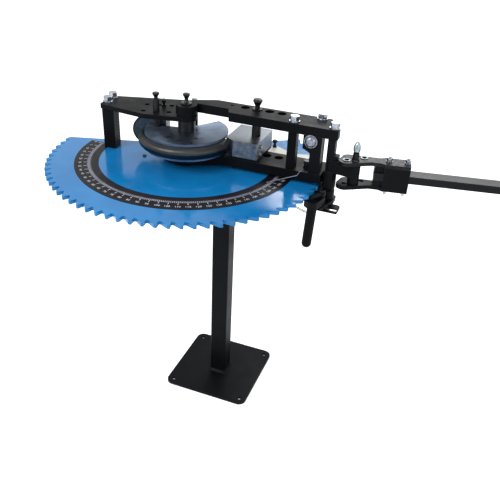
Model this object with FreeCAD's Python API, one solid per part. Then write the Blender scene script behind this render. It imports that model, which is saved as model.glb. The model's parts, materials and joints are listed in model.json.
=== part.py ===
import FreeCAD, Part
import math
import os

os.makedirs("parts", exist_ok=True)

Vector = FreeCAD.Vector
UP = Vector(0, 0, 1)
ALONG_X = Vector(1, 0, 0)
ALONG_Y = Vector(0, 1, 0)

# Base plate and column
BASE_SIDE = 330.2
BASE_T = 9.5
BASE_CORNER_R = 28.0
BASE_BOLT_PITCH = 279.4
BASE_HOLE_R = 6.75
COLUMN_SIDE = 63.5
COLUMN_WALL = 4.8
COLUMN_CORNER_R = 8.0
COLUMN_LENGTH = 789.3
WELD_LEG = 8.0
HEAD_SIDE = 127.0
HEAD_T = 12.7
HEAD_CORNER_R = 6.0
HEAD_BOLT_PITCH = 96.0

# Die pivot, seen from the middle of the base plate
PIVOT_X = -181.0
PIVOT_Y = 77.0
CENTRE_PIN_R = 12.7

# Stack of plates and washers along the pivot
UNDER_T = 25.4
UNDER_WASHER_T = 6.35
DISC_T = 12.7
LOWER_WASHER_T = 12.0
LOWER_T = 31.75
DIE_WASHER_T = 7.95
DIE_T = 60.3
COLLAR_T = 37.75
SWING_T = 15.9
TOP_WASHER_T = 5.15
UPPER_T = 31.75

# Clearances
RUN_GAP = 0.05
THRUST_GAP = 0.2
BOLT_GAP = 0.25
TUBE_GAP = 0.4
FREE_GAP = 0.3
PAWL_GAP = 0.4

# Bolts: radius, flats, head height, washer radius, washer and lock washer thickness
BIG_BOLT = (9.5, 28.0, 13.2, 18.0, 3.0, 3.6)
SMALL_BOLT = (6.0, 19.0, 8.0, 12.0, 2.5, 2.5)
LEVER_BOLT = (5.0, 17.0, 8.0, 10.0, 2.5, 3.0)
POST_BOLT_DEPTH = 30.0
NUT_H = 12.0
NUT_AF = 30.0

# Toothed disc and degree ring
TIP_R = 490.0
TOOTH_DEPTH = 27.0
ROOT_R = TIP_R - TOOTH_DEPTH
TEETH_PER_TURN = 78
TEETH = 49
FIRST_TIP_DEG = 183.8
TIP_LAND_DEG = 0.9
STEEP_DEG = 0.35
GULLET_R = 3.5
BACK_LEFT_DEG = 108.0
BACK_LEFT_DISTANCE = 142.0
BACK_RIGHT_DEG = 126.0
BACK_RIGHT_DISTANCE = 121.0
BACK_APEX_R = 60.0
BACK_CORNER_INSET = 4.0
DISC_CORNER_R = 16.0
END_CORNER_R = 3.0
RING_OUTER_R = 392.0
RING_WIDTH = 83.0
RING_INNER_R = RING_OUTER_R - RING_WIDTH
RING_T = 0.8
RING_ZERO_DEG = 181.4
RING_MARGIN_DEG = 1.2
SCALE_DEG = 180.0
STOP_BOLT = (-147.0, -44.0)
STOP_BOLT_R = 5.0
STOP_BOLT_AF = 13.0
STOP_BOLT_H = 5.0
DISC_WASHER_R = 40.0

# Bend die and sample tube
TUBE_R = 22.225
TUBE_WALL = 2.1
BEND_R = 146.0
DIE_R = BEND_R
DIE_HUB_R = 32.0
DIE_WASHER_R = 52.0
DIE_VERTEX = (-8.0, 12.0)
DIE_EDGE_DEG = (57.8, 191.0)
DIE_SLOT_CENTRE = (64.0, -64.0)
DIE_SLOT_SIZE = (20.0, 7.0, 5.0)
DIE_SLOT_DEG = -8.0
BEND_START_DEG = 360.0
BEND_END_DEG = 194.0
TAIL_LENGTH = 100.0

# Swing arm: leg, plate and posts
ARM_DEG = 18.0
ARM_FRONT = -20.4
ARM_BACK = 154.0
ARM_LEFT_FRONT = (-316.7, 57.7)
ARM_LEFT_BACK = -289.3
ARM_NOSE = (-14.0, -34.0)
ARM_RIGHT_BACK = 26.0
ARM_BEND_X = -147.5
ARM_SIDE_R = 8.0
ARM_BEND_R = 14.0
ARM_NOSE_R = 6.0
ARM_BACK_R = 10.0
ARM_HUB_INSET = 2.0
ARM_HOLE_X = (-152.0, -107.0, -64.0)
ARM_HOLE_Y = (12.0, 81.0)
ARM_HOLE_R = 9.5
ARM_HUB_R = 37.0
LEG_CENTRE = (-296.1, -12.8)
LEG_SIZE = (44.5, 42.0)
LEG_RIB = (-25.0, -3.0, 47.0)
LEG_DEG = 5.0
LEG_BOLTS = ((-9.5, 3.5), (-14.0, 54.0))
REAR_POST = (-33.0, 134.0)
REAR_POST_R = 12.5
REAR_BOLT_DEPTH = 25.0
COLLAR_R = 30.0

# Hook and clamp on the tube's tail, x outwards and y along the tail
JAW_CENTRE_X = 2.0
JAW_CENTRE_Z = 88.0
JAW_R = 46.0
JAW_Y = (22.0, 52.0)
HOOK_T = 6.0
HOOK_NECK_X = (-24.0, 16.0)
HOOK_FLOOR = 46.0
CLAMP_X = (-66.0, -24.0)
CLAMP_Y = (30.5, 88.0)

# Pins with knobs
DRIVE_PIN_R = 9.4
DRIVE_SLEEVE_R = 11.5
DRIVE_SLEEVE_H = 46.0
LOCK_PIN = (-107.0, 38.0)
LOCK_PIN_R = 5.0
LOCK_PIN_DEPTH = 26.0
LOCK_END_GAP = 1.0
LOCK_KNOB = (10.0, 20.0)
LOCK_SLEEVE = (7.5, 7.0)
COUNTER_PIN_R = 15.875
COUNTER_KNOB = (16.5, 33.0)
COUNTER_COLLAR_H = 4.0
KNOB_R = 12.5
KNOB_H = 22.0
CENTRE_COLLAR = (19.0, 5.0)
CENTRE_SLOPE = 2.0
CENTRE_NECK = (9.0, 8.0)
CENTRE_KNOB_H = 25.0
PIN_STEP = 1.5
PIN_END_GAP = 3.0

# Frame plates
HUB_R = 37.0
LOWER_HUB_R = 86.0
FRAME_FRONT = -10.0
FRAME_BACK = 92.0
LOWER_FRONT = -15.0
LOWER_BACK = 100.0
LOWER_END = TIP_R + 5.0
LOWER_NECK = ((20.0, -80.0), (150.0, LOWER_FRONT, 40.0))
LOWER_HEEL = ((130.0, LOWER_BACK, 30.0), (0.0, 82.0))
UPPER_END = TIP_R + 47.0
UPPER_NECK = ((10.0, 24.0), (146.0, 24.0, 4.0), (160.0, FRAME_FRONT, 4.0))
UPPER_HEEL = ((78.0, FRAME_BACK, 20.0), (10.0, 58.0, 10.0), (-20.0, 30.0))
UPPER_CUT = (TIP_R, 20.0)
LOWER_HANGER_MARGIN = (4.0, 2.0, 4.0)
PLATE_CORNER_R = 4.0
PLATE_SHARP_R = 3.0
PLATE_SOFT_R = 5.0
ROW_Y = 63.0
ROW_START = 191.5
ROW_PITCH = 44.0
ROW_COUNT = 4
COUNTER_PIN_INDEX = 1
SMALL_HOLE_X = 143.0
SMALL_HOLE_R = 6.0

# Posts between the frame plates
INNER_POST = (TIP_R - 121.0, TIP_R - 91.0, -2.0, 26.0)
END_LEFT = TIP_R - 40.0
END_RIGHT = TIP_R - 3.0
END_FRONT = FRAME_FRONT
END_BACK = 17.0
END_BOSS_LEFT = TIP_R - 66.0
END_BOSS_Z = (112.0, 125.0)
BACK_POST = (TIP_R - 30.0, 78.0)
BACK_POST_R = 16.0
SIDE_BOLT = (TIP_R - 39.0, 153.0)
SIDE_BOLT_R = 22.0
SIDE_FLANGE_T = 4.0
SIDE_DOME_H = 10.0
SIDE_SHANK_R = 8.0
SIDE_SHANK_GAP = 3.0
PLATE_BOLT_PLACE = (TIP_R - 57.0, 36.0)
PLATE_BOLT = (7.0, 21.0, 14.0, 12.5, 3.0, 4.0)
PLATE_BOLT_DEPTH = 25.0

# Counter die
COUNTER_X = (149.0, 269.5)
COUNTER_Y = (-18.0, 140.0)
COUNTER_T = 57.15
SLIDE_T = 9.2
SLIDE_INSET = 3.0
COUNTER_EDGE = 1.5
COUNTER_LEAD = (32.0, 19.0)
COUNTER_SCREW_Y = 18.0
COUNTER_SCREW_Z = (61.0, 91.5)
COUNTER_SCREW = (4.0, 13.0, 7.0, 6.0)

# Support under the disc
HANGER = (TIP_R + 4.0, TIP_R + 34.0, 50.0, 92.0)
UNDER_HUB_R = 58.0
UNDER_WASHER_R = 50.0
UNDER_END = TIP_R + 2.0
UNDER_NOSE = (-30.0, -50.0, 10.0)
UNDER_FRONT = ((320.0, -60.0, 20.0), (TIP_R - 50.0, -44.0, 20.0), (UNDER_END, -14.0, 8.0))
UNDER_HEAD_MARGIN = (4.0, 8.0)
UNDER_HEAD_R = 12.0
UNDER_TIGHT_R = 8.0
UNDER_WIDE_R = 20.0
UNDER_HANGER_MARGIN = (12.0, 6.0, 2.0, 4.0)
HANGER_WASHER_R = 9.9
UNDER_BACK = ((280.0, 62.0, 30.0), (0.0, UNDER_HUB_R))
BRACKET_BOLTS = ((TIP_R - 60.0, 0.0), (TIP_R - 20.0, 35.0))
BRACKET_X = (TIP_R - 86.0, TIP_R - 24.0)
BRACKET_Y = (-22.0, 56.0)
BRACKET_REACH = 26.0
BRACKET_SIDE_Y = (0.0, 40.0)
BRACKET_BACK_LEFT = 20.0
BRACKET_EAR = 14.0
BRACKET_TIGHT_R = 6.0
BRACKET_FRONT_R = 8.0
BRACKET_WIDE_R = 10.0

# Lever hub
HUB_AXIS = (TIP_R + 30.0, 12.0)
HUB_POST_X = (-15.2, 10.2)
HUB_POST_DEPTH = 25.4
HUB_BARREL_R = 22.5
HUB_NECK_R = 11.8
HUB_LOW_PIN_R = 10.0
HUB_LOW_PIN_TOP = -22.0
HUB_TOP_PIN_R = 6.0
HUB_TOP_PIN_DEPTH = 82.0
HUB_POST_LOW = 57.0
TONGUE_LOW = 55.4
TONGUE_TOP = 96.0
TONGUE_R = 17.0
SHOULDER = (24.0, 13.0)
LUG_R = 7.5
LUG_TOP_GAP = 2.0
PAWL_HEAD = (5.0, 1.5)

# Lever
LEVER_ROOT = (HUB_AXIS[0] + 50.0, HUB_AXIS[1] + 2.0)
FOLD_AXIS = (HUB_AXIS[0] + 81.0, HUB_AXIS[1] - 10.5)
FOLD_PIN_R = 10.0
FOLD_POST_R = 19.0
FOLD_PIN_TAIL = 7.0
LEVER_DEG = 11.0
CLEVIS_T = 12.7
CLEVIS_GAP = 68.6
CLEVIS_LOW = 18.5
BACK_LOBE = (6.0, 4.0, 21.0)
FRONT_LOBE = (0.0, -26.5, 25.5)
WAIST = (75.0, 0.0, 22.0)
BUSHES = ((0.0, -26.5), (55.8, 6.5))
BUSH = (8.5, 12.5, 2.5)
SOCKET = (123.5, 205.5, 60.0)
SOCKET_FLARE = 12.0
SOCKET_CORNER_R = 3.0
SOCKET_INSET = 1.0
WEB = (92.0, 20.0)
BAR_WIDTH = 50.8
BAR_HEIGHT = 25.4
BAR_WALL = 3.2
BAR_START = 95.0
BAR_LENGTH = 1067.0
BAR_PLUG = (4.0, 12.0)
LEVER_BOLT_X = (136.0, 195.5)
LEVER_BOLT_OUT = (21.0, 18.5)
FINIAL = ((13.0, 0.0), (13.0, 5.0), (10.5, 6.0), (10.5, 22.0), (8.0, 24.0), (10.8, 29.0), (12.2, 36.0),
          (11.4, 44.0), (8.8, 52.0), (4.6, 59.0), (1.6, 61.5))

# Pawls
DRIVE_PAWL_PIN = (HUB_AXIS[0] - 15.5, HUB_AXIS[1] + 23.1)
DRIVE_TOOTH = 38
DRIVE_PAWL_SWING = 40.0
DRIVE_BLADE = (-3.5, 3.5)
DRIVE_EYE_R = 6.4
HOLD_PAWL_PIN = (TIP_R + 22.0, -38.0)
HOLD_TOOTH = 36
HOLD_PAWL_SWING = 25.0
HOLD_BLADE = (-2.2, 6.5)
HOLD_EYE_R = 13.0
HOLD_SPACER_R = 11.0
PAWL_PIN_R = 3.0
HOLD_PIN_R = 7.0
HOLD_PIN_HEAD = (22.0, 8.0)
HOLD_PIN_CAP = (11.0, 0.6, 4.6)
STEM = (HOLD_PAWL_PIN[0] - 17.0, HOLD_PAWL_PIN[1] - 46.0)
STEM_R = 7.0
STEM_LENGTH = 90.0
CRANK_Z = (-44.0, -20.0)
CRANK_R = 19.0
CRANK_EAR = (STEM[0] - 23.0, STEM[1] + 4.0, 7.0)
GRIP_R = 16.5
GRIP_TOP = -44.0
GRIP_LENGTH = 152.0
GRIP_LEAN_DEG = 2.84
POINTER_ROOT = (TIP_R - 65.0, 44.5)
POINTER_ELBOW = (TIP_R - 74.0, 28.0)
POINTER_TIP = (RING_INNER_R + 15.5, -63.0, 2.6)
POINTER_R = 1.6
POINTER_TIP_SHARE = 0.5

# Wear pad and loop
PAD_SEAT = (239.0, 400.0, 60.0, 110.0)
PAD_EDGE = ((239.0, 222.0), (244.0, 233.0), (260.0, 238.0), (305.0, 211.0), (351.0, 197.0), (400.0, 213.0))
PAD_KNOB = (254.0, 225.0)
PAD_KNOB_PROFILE = ((8.0, 0.0), (8.0, 4.0), (4.5, 8.0), (4.5, 14.0), (9.5, 21.0), (9.5, 25.0), (6.0, 28.0))
PAD_SCREW_R = 4.0
PAD_SCREW_LOW = 4.5
LOOP_X = (HUB_AXIS[0] - 36.0, HUB_AXIS[0] + 49.0)
LOOP_Y = (-39.0, 22.0)
LOOP_CORNER_R = (5.0, 16.0)
LOOP_WINDOW_X = (HUB_AXIS[0] - 15.0, HUB_AXIS[0] + 44.5)
LOOP_WINDOW_Y = (-27.5, -9.0)
LOOP_WINDOW_R = 3.0
LOOP_T = 5.0

# Pawl spring
SPRING_WIRE_R = 0.8
SPRING_R = 3.4
SPRING_TURNS = 17
SPRING_PITCH = 3.4
SPRING_LEAD = 8.6
SPRING_HOOK = 1.0
SPRING_Z = -70.0
SPRING_DEG = 153.0
PEG_R = 5.0
PEG_BELOW = 6.0

# Heights in the pivot frame, where the top face of the disc is zero
Z_DISC_LOW = -DISC_T
Z_UNDER_TOP = Z_DISC_LOW - UNDER_WASHER_T
Z_UNDER_LOW = Z_UNDER_TOP - UNDER_T
Z_HEAD_LOW = Z_UNDER_LOW - HEAD_T
Z_LOWER_LOW = LOWER_WASHER_T
Z_LOWER_TOP = Z_LOWER_LOW + LOWER_T
Z_DIE_LOW = Z_LOWER_TOP + DIE_WASHER_T
Z_DIE_TOP = Z_DIE_LOW + DIE_T
Z_TUBE = Z_DIE_LOW + DIE_T / 2
Z_SWING_LOW = Z_DIE_TOP + COLLAR_T
Z_SWING_TOP = Z_SWING_LOW + SWING_T
Z_UPPER_LOW = Z_SWING_TOP + TOP_WASHER_T
Z_UPPER_TOP = Z_UPPER_LOW + UPPER_T
Z_CLEVIS_TOP = CLEVIS_LOW + CLEVIS_T
Z_LEVER_LOW = Z_CLEVIS_TOP + CLEVIS_GAP
Z_LEVER_TOP = Z_LEVER_LOW + CLEVIS_T
Z_NECK_LOW = Z_DISC_LOW - 2 * FREE_GAP
Z_NECK_TOP = PAWL_GAP
DISC_HEIGHT = BASE_T + COLUMN_LENGTH - Z_HEAD_LOW

TOOTH_DEG = 360.0 / TEETH_PER_TURN
COLUMN_X = -PIVOT_X
COLUMN_Y = -PIVOT_Y
HALF_COLUMN = COLUMN_SIDE / 2
COUNTER_PIN_X = ROW_START + COUNTER_PIN_INDEX * ROW_PITCH
COUNTER_LOW = Z_LOWER_TOP + FREE_GAP + SLIDE_T


def polar(radius, degrees):
    angle = math.radians(degrees)
    return radius * math.cos(angle), radius * math.sin(angle)


def turned(shape, degrees, centre=(0.0, 0.0)):
    copy = shape.copy()
    copy.rotate(Vector(centre[0], centre[1], 0), UP, degrees)
    return copy


def moved(shape, x, y, z=0.0):
    copy = shape.copy()
    copy.translate(Vector(x, y, z))
    return copy


def placed(centre, x, y, degrees):
    """A point given in a turned frame, brought into the pivot frame."""
    angle = math.radians(degrees)
    return (centre[0] + x * math.cos(angle) - y * math.sin(angle),
            centre[1] + x * math.sin(angle) + y * math.cos(angle))


def arm_point(x, y):
    return placed((0.0, 0.0), x, y, ARM_DEG)


def fold_point():
    """The fold axis in the lever's own frame."""
    return placed((0.0, 0.0), FOLD_AXIS[0] - LEVER_ROOT[0], FOLD_AXIS[1] - LEVER_ROOT[1], -LEVER_DEG)


def box(x0, x1, y0, y1, z0, z1):
    return Part.makeBox(x1 - x0, y1 - y0, z1 - z0, Vector(x0, y0, z0))


def rod(x, y, z0, z1, radius):
    return Part.makeCylinder(radius, z1 - z0, Vector(x, y, z0))


def outline(corners, z):
    """A closed wire through corners given as (x, y) or (x, y, rounding radius)."""
    points = [Vector(corner[0], corner[1], z) for corner in corners]
    radii = [corner[2] if len(corner) > 2 else 0.0 for corner in corners]
    count = len(points)
    stops = []
    for i in range(count):
        here = points[i]
        if radii[i] == 0.0:
            stops.append((here, None, here))
            continue
        back = (points[i - 1] - here).normalize()
        ahead = (points[(i + 1) % count] - here).normalize()
        half = back.getAngle(ahead) / 2
        cut = radii[i] / math.tan(half)
        middle = (back + ahead).normalize()
        centre = here + middle * (radii[i] / math.sin(half))
        stops.append((here + back * cut, centre - middle * radii[i], here + ahead * cut))
    edges = []
    for i in range(count):
        start, middle, end = stops[i]
        following = stops[(i + 1) % count][0]
        if middle is not None:
            edges.append(Part.Arc(start, middle, end).toShape())
        edges.append(Part.LineSegment(end, following).toShape())
    return Part.Wire(edges)


def plate(corners, z0, z1):
    face = Part.Face(outline(corners, z0))
    return face.extrude(Vector(0, 0, z1 - z0))


def upright_plate(corners, y0, y1):
    """A plate whose outline is given as (x, z) corners and whose thickness lies along y."""
    wire = Part.makePolygon([Vector(x, y0, z) for x, z in corners + [corners[0]]])
    return Part.Face(wire).extrude(Vector(0, y1 - y0, 0))


def square_corners(half, corner_r):
    """A square around the column's axis."""
    return [(COLUMN_X + sx * half, COLUMN_Y + sy * half, corner_r)
            for sx, sy in ((-1, -1), (1, -1), (1, 1), (-1, 1))]


def ring_sector(inner, outer, start, end, z0, z1):
    middle = (start + end) / 2
    far = [Vector(*polar(outer, a), z0) for a in (start, middle, end)]
    near = [Vector(*polar(inner, a), z0) for a in (end, middle, start)]
    edges = [
        Part.Arc(*far).toShape(),
        Part.LineSegment(far[2], near[0]).toShape(),
        Part.Arc(*near).toShape(),
        Part.LineSegment(near[2], far[0]).toShape(),
    ]
    return Part.Face(Part.Wire(edges)).extrude(Vector(0, 0, z1 - z0))


def turned_profile(points, x=0.0, y=0.0):
    """A solid of revolution about a vertical axis from (radius, z) points."""
    wire = Part.makePolygon([Vector(r, 0, z) for r, z in points + [points[0]]])
    solid = Part.Face(wire).revolve(Vector(0, 0, 0), UP, 360)
    return moved(solid, x, y)


def tapered_bar(start, start_r, end, end_r, z0, z1):
    """A flat bar between two round ends, its sides tangent to both."""
    run = Vector(end[0] - start[0], end[1] - start[1], 0)
    lean = math.degrees(math.asin((start_r - end_r) / run.Length))
    heading = math.degrees(math.atan2(run.y, run.x))
    corners = []
    for centre, radius, side in ((start, start_r, -1), (end, end_r, -1), (end, end_r, 1), (start, start_r, 1)):
        x, y = polar(radius, heading + side * (90 - lean))
        corners.append((centre[0] + x, centre[1] + y))
    return plate(corners, z0, z1).fuse([rod(*start, z0, z1, start_r), rod(*end, z0, z1, end_r)])


def hexagon(x, y, z0, height, flats, chamfer_up=True):
    corner = flats / math.sqrt(3)
    chamfer = 0.12 * corner
    points = [(x + polar(corner, 60 * k)[0], y + polar(corner, 60 * k)[1]) for k in range(6)]
    prism = plate(points, z0, z0 + height)
    low = z0 if chamfer_up else z0 + height
    top = z0 + height if chamfer_up else z0
    step = -chamfer * 0.6 if chamfer_up else chamfer * 0.6
    profile = [(0, low), (corner, low), (corner, top + step), (corner - chamfer, top), (0, top)]
    return prism.common(turned_profile(profile, x, y))


def hex_bolt(x, y, seat, depth, size=BIG_BOLT):
    """Head, lock washer and washer above the seat, shank below it."""
    radius, flats, head_h, washer_r, washer_t, lock_t = size
    lock_low = seat + washer_t
    head_low = lock_low + lock_t
    washer = rod(x, y, seat, lock_low, washer_r)
    lock = rod(x, y, lock_low, head_low, flats * 0.53)
    shank = rod(x, y, seat - depth, head_low, radius)
    return washer.fuse([lock, shank, hexagon(x, y, head_low, head_h, flats)]).removeSplitter()


def upturned_bolt(x, y, seat, height, size=SMALL_BOLT):
    """Head, lock washer and washer under the seat, shank above it."""
    radius, flats, head_h, washer_r, washer_t, lock_t = size
    lock_top = seat - washer_t
    head_top = lock_top - lock_t
    washer = rod(x, y, lock_top, seat, washer_r)
    lock = rod(x, y, head_top, lock_top, flats * 0.53)
    shank = rod(x, y, head_top, seat + height, radius)
    head = hexagon(x, y, head_top - head_h, head_h, flats, False)
    return washer.fuse([lock, shank, head]).removeSplitter()


def bolt_hole(x, y, z0, z1, size=BIG_BOLT):
    return rod(x, y, z0, z1, size[0] + BOLT_GAP)


def knob_profile(z, radius, height):
    """Outline of a flared pull knob that stands on z, from its foot to its crown."""
    return [
        (radius * 0.52, z),
        (radius * 0.52, z + height * 0.3),
        (radius * 0.95, z + height * 0.72),
        (radius, z + height * 0.8),
        (radius * 0.9, z + height * 0.96),
        (radius * 0.6, z + height),
        (0, z + height),
    ]


def cut_all(shape, tools):
    return shape.cut(tools) if len(tools) > 1 else shape.cut(tools[0])


def save(name, shape):
    """Write one piece, moved from the pivot frame to the middle of the base plate."""
    final = moved(shape, PIVOT_X, PIVOT_Y, DISC_HEIGHT)
    final.exportStep("parts/" + name + ".step")
    print(name, len(final.Solids), final.isValid(), round(final.Volume / 1000, 1))


def group(solids):
    return Part.makeCompound(solids)


def base_and_column():
    floor = -DISC_HEIGHT
    base = plate(square_corners(BASE_SIDE / 2, BASE_CORNER_R), floor, floor + BASE_T)
    pitch = BASE_BOLT_PITCH / 2
    holes = [rod(COLUMN_X + sx * pitch, COLUMN_Y + sy * pitch, floor, floor + BASE_T, BASE_HOLE_R)
             for sx in (-1, 1) for sy in (-1, 1)]
    save("base_plate", cut_all(base, holes))

    foot = floor + BASE_T
    top = foot + COLUMN_LENGTH
    outer = square_corners(HALF_COLUMN, COLUMN_CORNER_R)
    inner = square_corners(HALF_COLUMN - COLUMN_WALL, COLUMN_CORNER_R - COLUMN_WALL)
    tube = plate(outer, foot, top).cut(plate(inner, foot, top))
    grown = square_corners(HALF_COLUMN + WELD_LEG, COLUMN_CORNER_R + WELD_LEG)
    skirt = Part.makeLoft([outline(grown, foot), outline(outer, foot + WELD_LEG)], True)
    bead = skirt.cut(plate(inner, foot, foot + WELD_LEG))
    save("column", tube.fuse(bead).removeSplitter())

    head = plate(square_corners(HEAD_SIDE / 2, HEAD_CORNER_R), Z_HEAD_LOW, Z_UNDER_LOW)
    places = head_bolt_places()
    save("column_head", cut_all(head, [bolt_hole(x, y, Z_HEAD_LOW, Z_UNDER_LOW, SMALL_BOLT) for x, y in places]))
    save("under_bolts", group([upturned_bolt(x, y, Z_HEAD_LOW, HEAD_T + UNDER_T)
                               for x, y in places + list(BRACKET_BOLTS)]))


def head_bolt_places():
    pitch = HEAD_BOLT_PITCH / 2
    return [(COLUMN_X + sx * pitch, COLUMN_Y + sy * pitch) for sx in (-1, 1) for sy in (-1, 1)]


def spring_root():
    """Where the grip's leaning axis is at the spring's height."""
    return STEM[0] - (GRIP_TOP - SPRING_Z) * math.tan(math.radians(GRIP_LEAN_DEG)), STEM[1]


def spring_peg_place():
    coil = SPRING_TURNS * SPRING_PITCH + 2 * SPRING_LEAD
    return placed(spring_root(), GRIP_R + FREE_GAP + coil + PEG_R + FREE_GAP, 0.0, SPRING_DEG)


def hanger_bolt_places():
    x = (HANGER[0] + HANGER[1]) / 2
    quarter = (HANGER[3] - HANGER[2]) / 4
    return [(x, HANGER[2] + quarter), (x, HANGER[3] - quarter)]


def under_frame():
    head_front = COLUMN_Y - HEAD_SIDE / 2 - UNDER_HEAD_MARGIN[0]
    head_left = COLUMN_X - HEAD_SIDE / 2
    head_right = COLUMN_X + HEAD_SIDE / 2 + UNDER_HEAD_MARGIN[1]
    left, front, right, back = UNDER_HANGER_MARGIN
    hanger_front = HANGER[2] - front
    hanger_right = HANGER[1] + right
    hanger_back = HANGER[3] + back
    corners = [UNDER_NOSE, (head_left, head_front, UNDER_HEAD_R), (head_right, head_front, UNDER_WIDE_R),
               *UNDER_FRONT, (UNDER_END, hanger_front), (hanger_right, hanger_front, PLATE_CORNER_R),
               (hanger_right, hanger_back, UNDER_TIGHT_R), (HANGER[0] - left, hanger_back, UNDER_WIDE_R), *UNDER_BACK]
    bar = plate(corners, Z_UNDER_LOW, Z_UNDER_TOP).fuse(rod(0, 0, Z_UNDER_LOW, Z_UNDER_TOP, UNDER_HUB_R))
    holes = [rod(0, 0, Z_UNDER_LOW, Z_UNDER_TOP, CENTRE_PIN_R + RUN_GAP)]
    for x, y in head_bolt_places() + hanger_bolt_places() + list(BRACKET_BOLTS):
        holes.append(bolt_hole(x, y, Z_UNDER_LOW, Z_UNDER_TOP, SMALL_BOLT))
    peg = rod(*spring_peg_place(), SPRING_Z - PEG_BELOW, Z_UNDER_LOW, PEG_R)
    save("under_arm", cut_all(bar, holes).fuse(peg).removeSplitter())

    washer = rod(0, 0, Z_UNDER_TOP, Z_DISC_LOW - THRUST_GAP, UNDER_WASHER_R)
    save("under_washer", washer.cut(rod(0, 0, Z_UNDER_TOP, Z_DISC_LOW, CENTRE_PIN_R + RUN_GAP)))

    hanger = box(*HANGER, Z_UNDER_TOP, Z_LOWER_LOW)
    save("hanger_block", cut_all(hanger, [bolt_hole(x, y, Z_UNDER_TOP, Z_LOWER_LOW, SMALL_BOLT)
                                          for x, y in hanger_bolt_places()]))
    depth = Z_LOWER_TOP - Z_UNDER_LOW
    size = (*SMALL_BOLT[:3], HANGER_WASHER_R, *SMALL_BOLT[4:])
    save("hanger_bolts", group([hex_bolt(x, y, Z_LOWER_TOP, depth, size) for x, y in hanger_bolt_places()]))

    px, py = HOLD_PAWL_PIN
    hx, hy = HUB_AXIS
    side_front, side_back = BRACKET_SIDE_Y
    bracket = plate([(BRACKET_X[0], BRACKET_Y[0], BRACKET_TIGHT_R), (BRACKET_X[1], BRACKET_Y[0], BRACKET_FRONT_R),
                     (px - BRACKET_EAR, py - BRACKET_EAR, BRACKET_WIDE_R),
                     (px + BRACKET_EAR, py - BRACKET_EAR, BRACKET_WIDE_R),
                     (hx + BRACKET_REACH, side_front, BRACKET_WIDE_R), (hx + BRACKET_REACH, side_back, BRACKET_EAR),
                     (hx - BRACKET_BACK_LEFT, BRACKET_Y[1], BRACKET_WIDE_R),
                     (BRACKET_X[0], BRACKET_Y[1], BRACKET_TIGHT_R)], Z_HEAD_LOW, Z_UNDER_LOW)
    bracket_holes = [bolt_hole(x, y, Z_HEAD_LOW, Z_UNDER_LOW, SMALL_BOLT) for x, y in BRACKET_BOLTS]
    bracket_holes.append(rod(hx, hy, Z_HEAD_LOW, Z_UNDER_LOW, HUB_LOW_PIN_R + RUN_GAP))
    bracket_holes.append(rod(px, py, Z_HEAD_LOW, Z_UNDER_LOW, HOLD_PIN_R + RUN_GAP))
    save("outer_bracket", cut_all(bracket, bracket_holes))


def loop_and_lower_pins():
    hx, hy = HUB_AXIS
    loop_top = Z_HEAD_LOW - NUT_H
    loop_low = loop_top - LOOP_T
    pin = rod(hx, hy, loop_low - NUT_H, HUB_LOW_PIN_TOP, HUB_LOW_PIN_R)
    upper_nut = hexagon(hx, hy, loop_top, NUT_H, NUT_AF)
    lower_nut = hexagon(hx, hy, loop_low - NUT_H, NUT_H, NUT_AF, False)
    save("hub_lower_pin", pin.fuse([upper_nut, lower_nut]).removeSplitter())
    front_r, back_r = LOOP_CORNER_R
    loop = plate([(LOOP_X[0], LOOP_Y[0], front_r), (LOOP_X[1], LOOP_Y[0], front_r),
                  (LOOP_X[1], LOOP_Y[1], back_r), (LOOP_X[0], LOOP_Y[1], back_r)], loop_low, loop_top)
    window = plate([(x, y, LOOP_WINDOW_R) for x, y in (
        (LOOP_WINDOW_X[0], LOOP_WINDOW_Y[0]), (LOOP_WINDOW_X[1], LOOP_WINDOW_Y[0]),
        (LOOP_WINDOW_X[1], LOOP_WINDOW_Y[1]), (LOOP_WINDOW_X[0], LOOP_WINDOW_Y[1]))], loop_low, loop_top)
    save("loop_bracket", loop.cut([window, rod(hx, hy, loop_low, loop_top, HUB_LOW_PIN_R + RUN_GAP)]))

    px, py = HOLD_PAWL_PIN
    flats, head_h = HOLD_PIN_HEAD
    cap_r, cap_low, cap_top = HOLD_PIN_CAP
    head = hexagon(px, py, Z_HEAD_LOW - head_h, head_h, flats, False)
    cap = rod(px, py, cap_low, cap_top, cap_r)
    shank = rod(px, py, Z_HEAD_LOW - head_h, cap_low, HOLD_PIN_R)
    save("hold_pawl_pin", shank.fuse([head, cap]).removeSplitter())


def row_holes(z0, z1, radius):
    return [rod(ROW_START + k * ROW_PITCH, ROW_Y, z0, z1, radius) for k in range(ROW_COUNT)]


def post_bolt_places():
    inner = ((INNER_POST[0] + INNER_POST[1]) / 2, (INNER_POST[2] + INNER_POST[3]) / 2)
    return [inner, BACK_POST]


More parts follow.
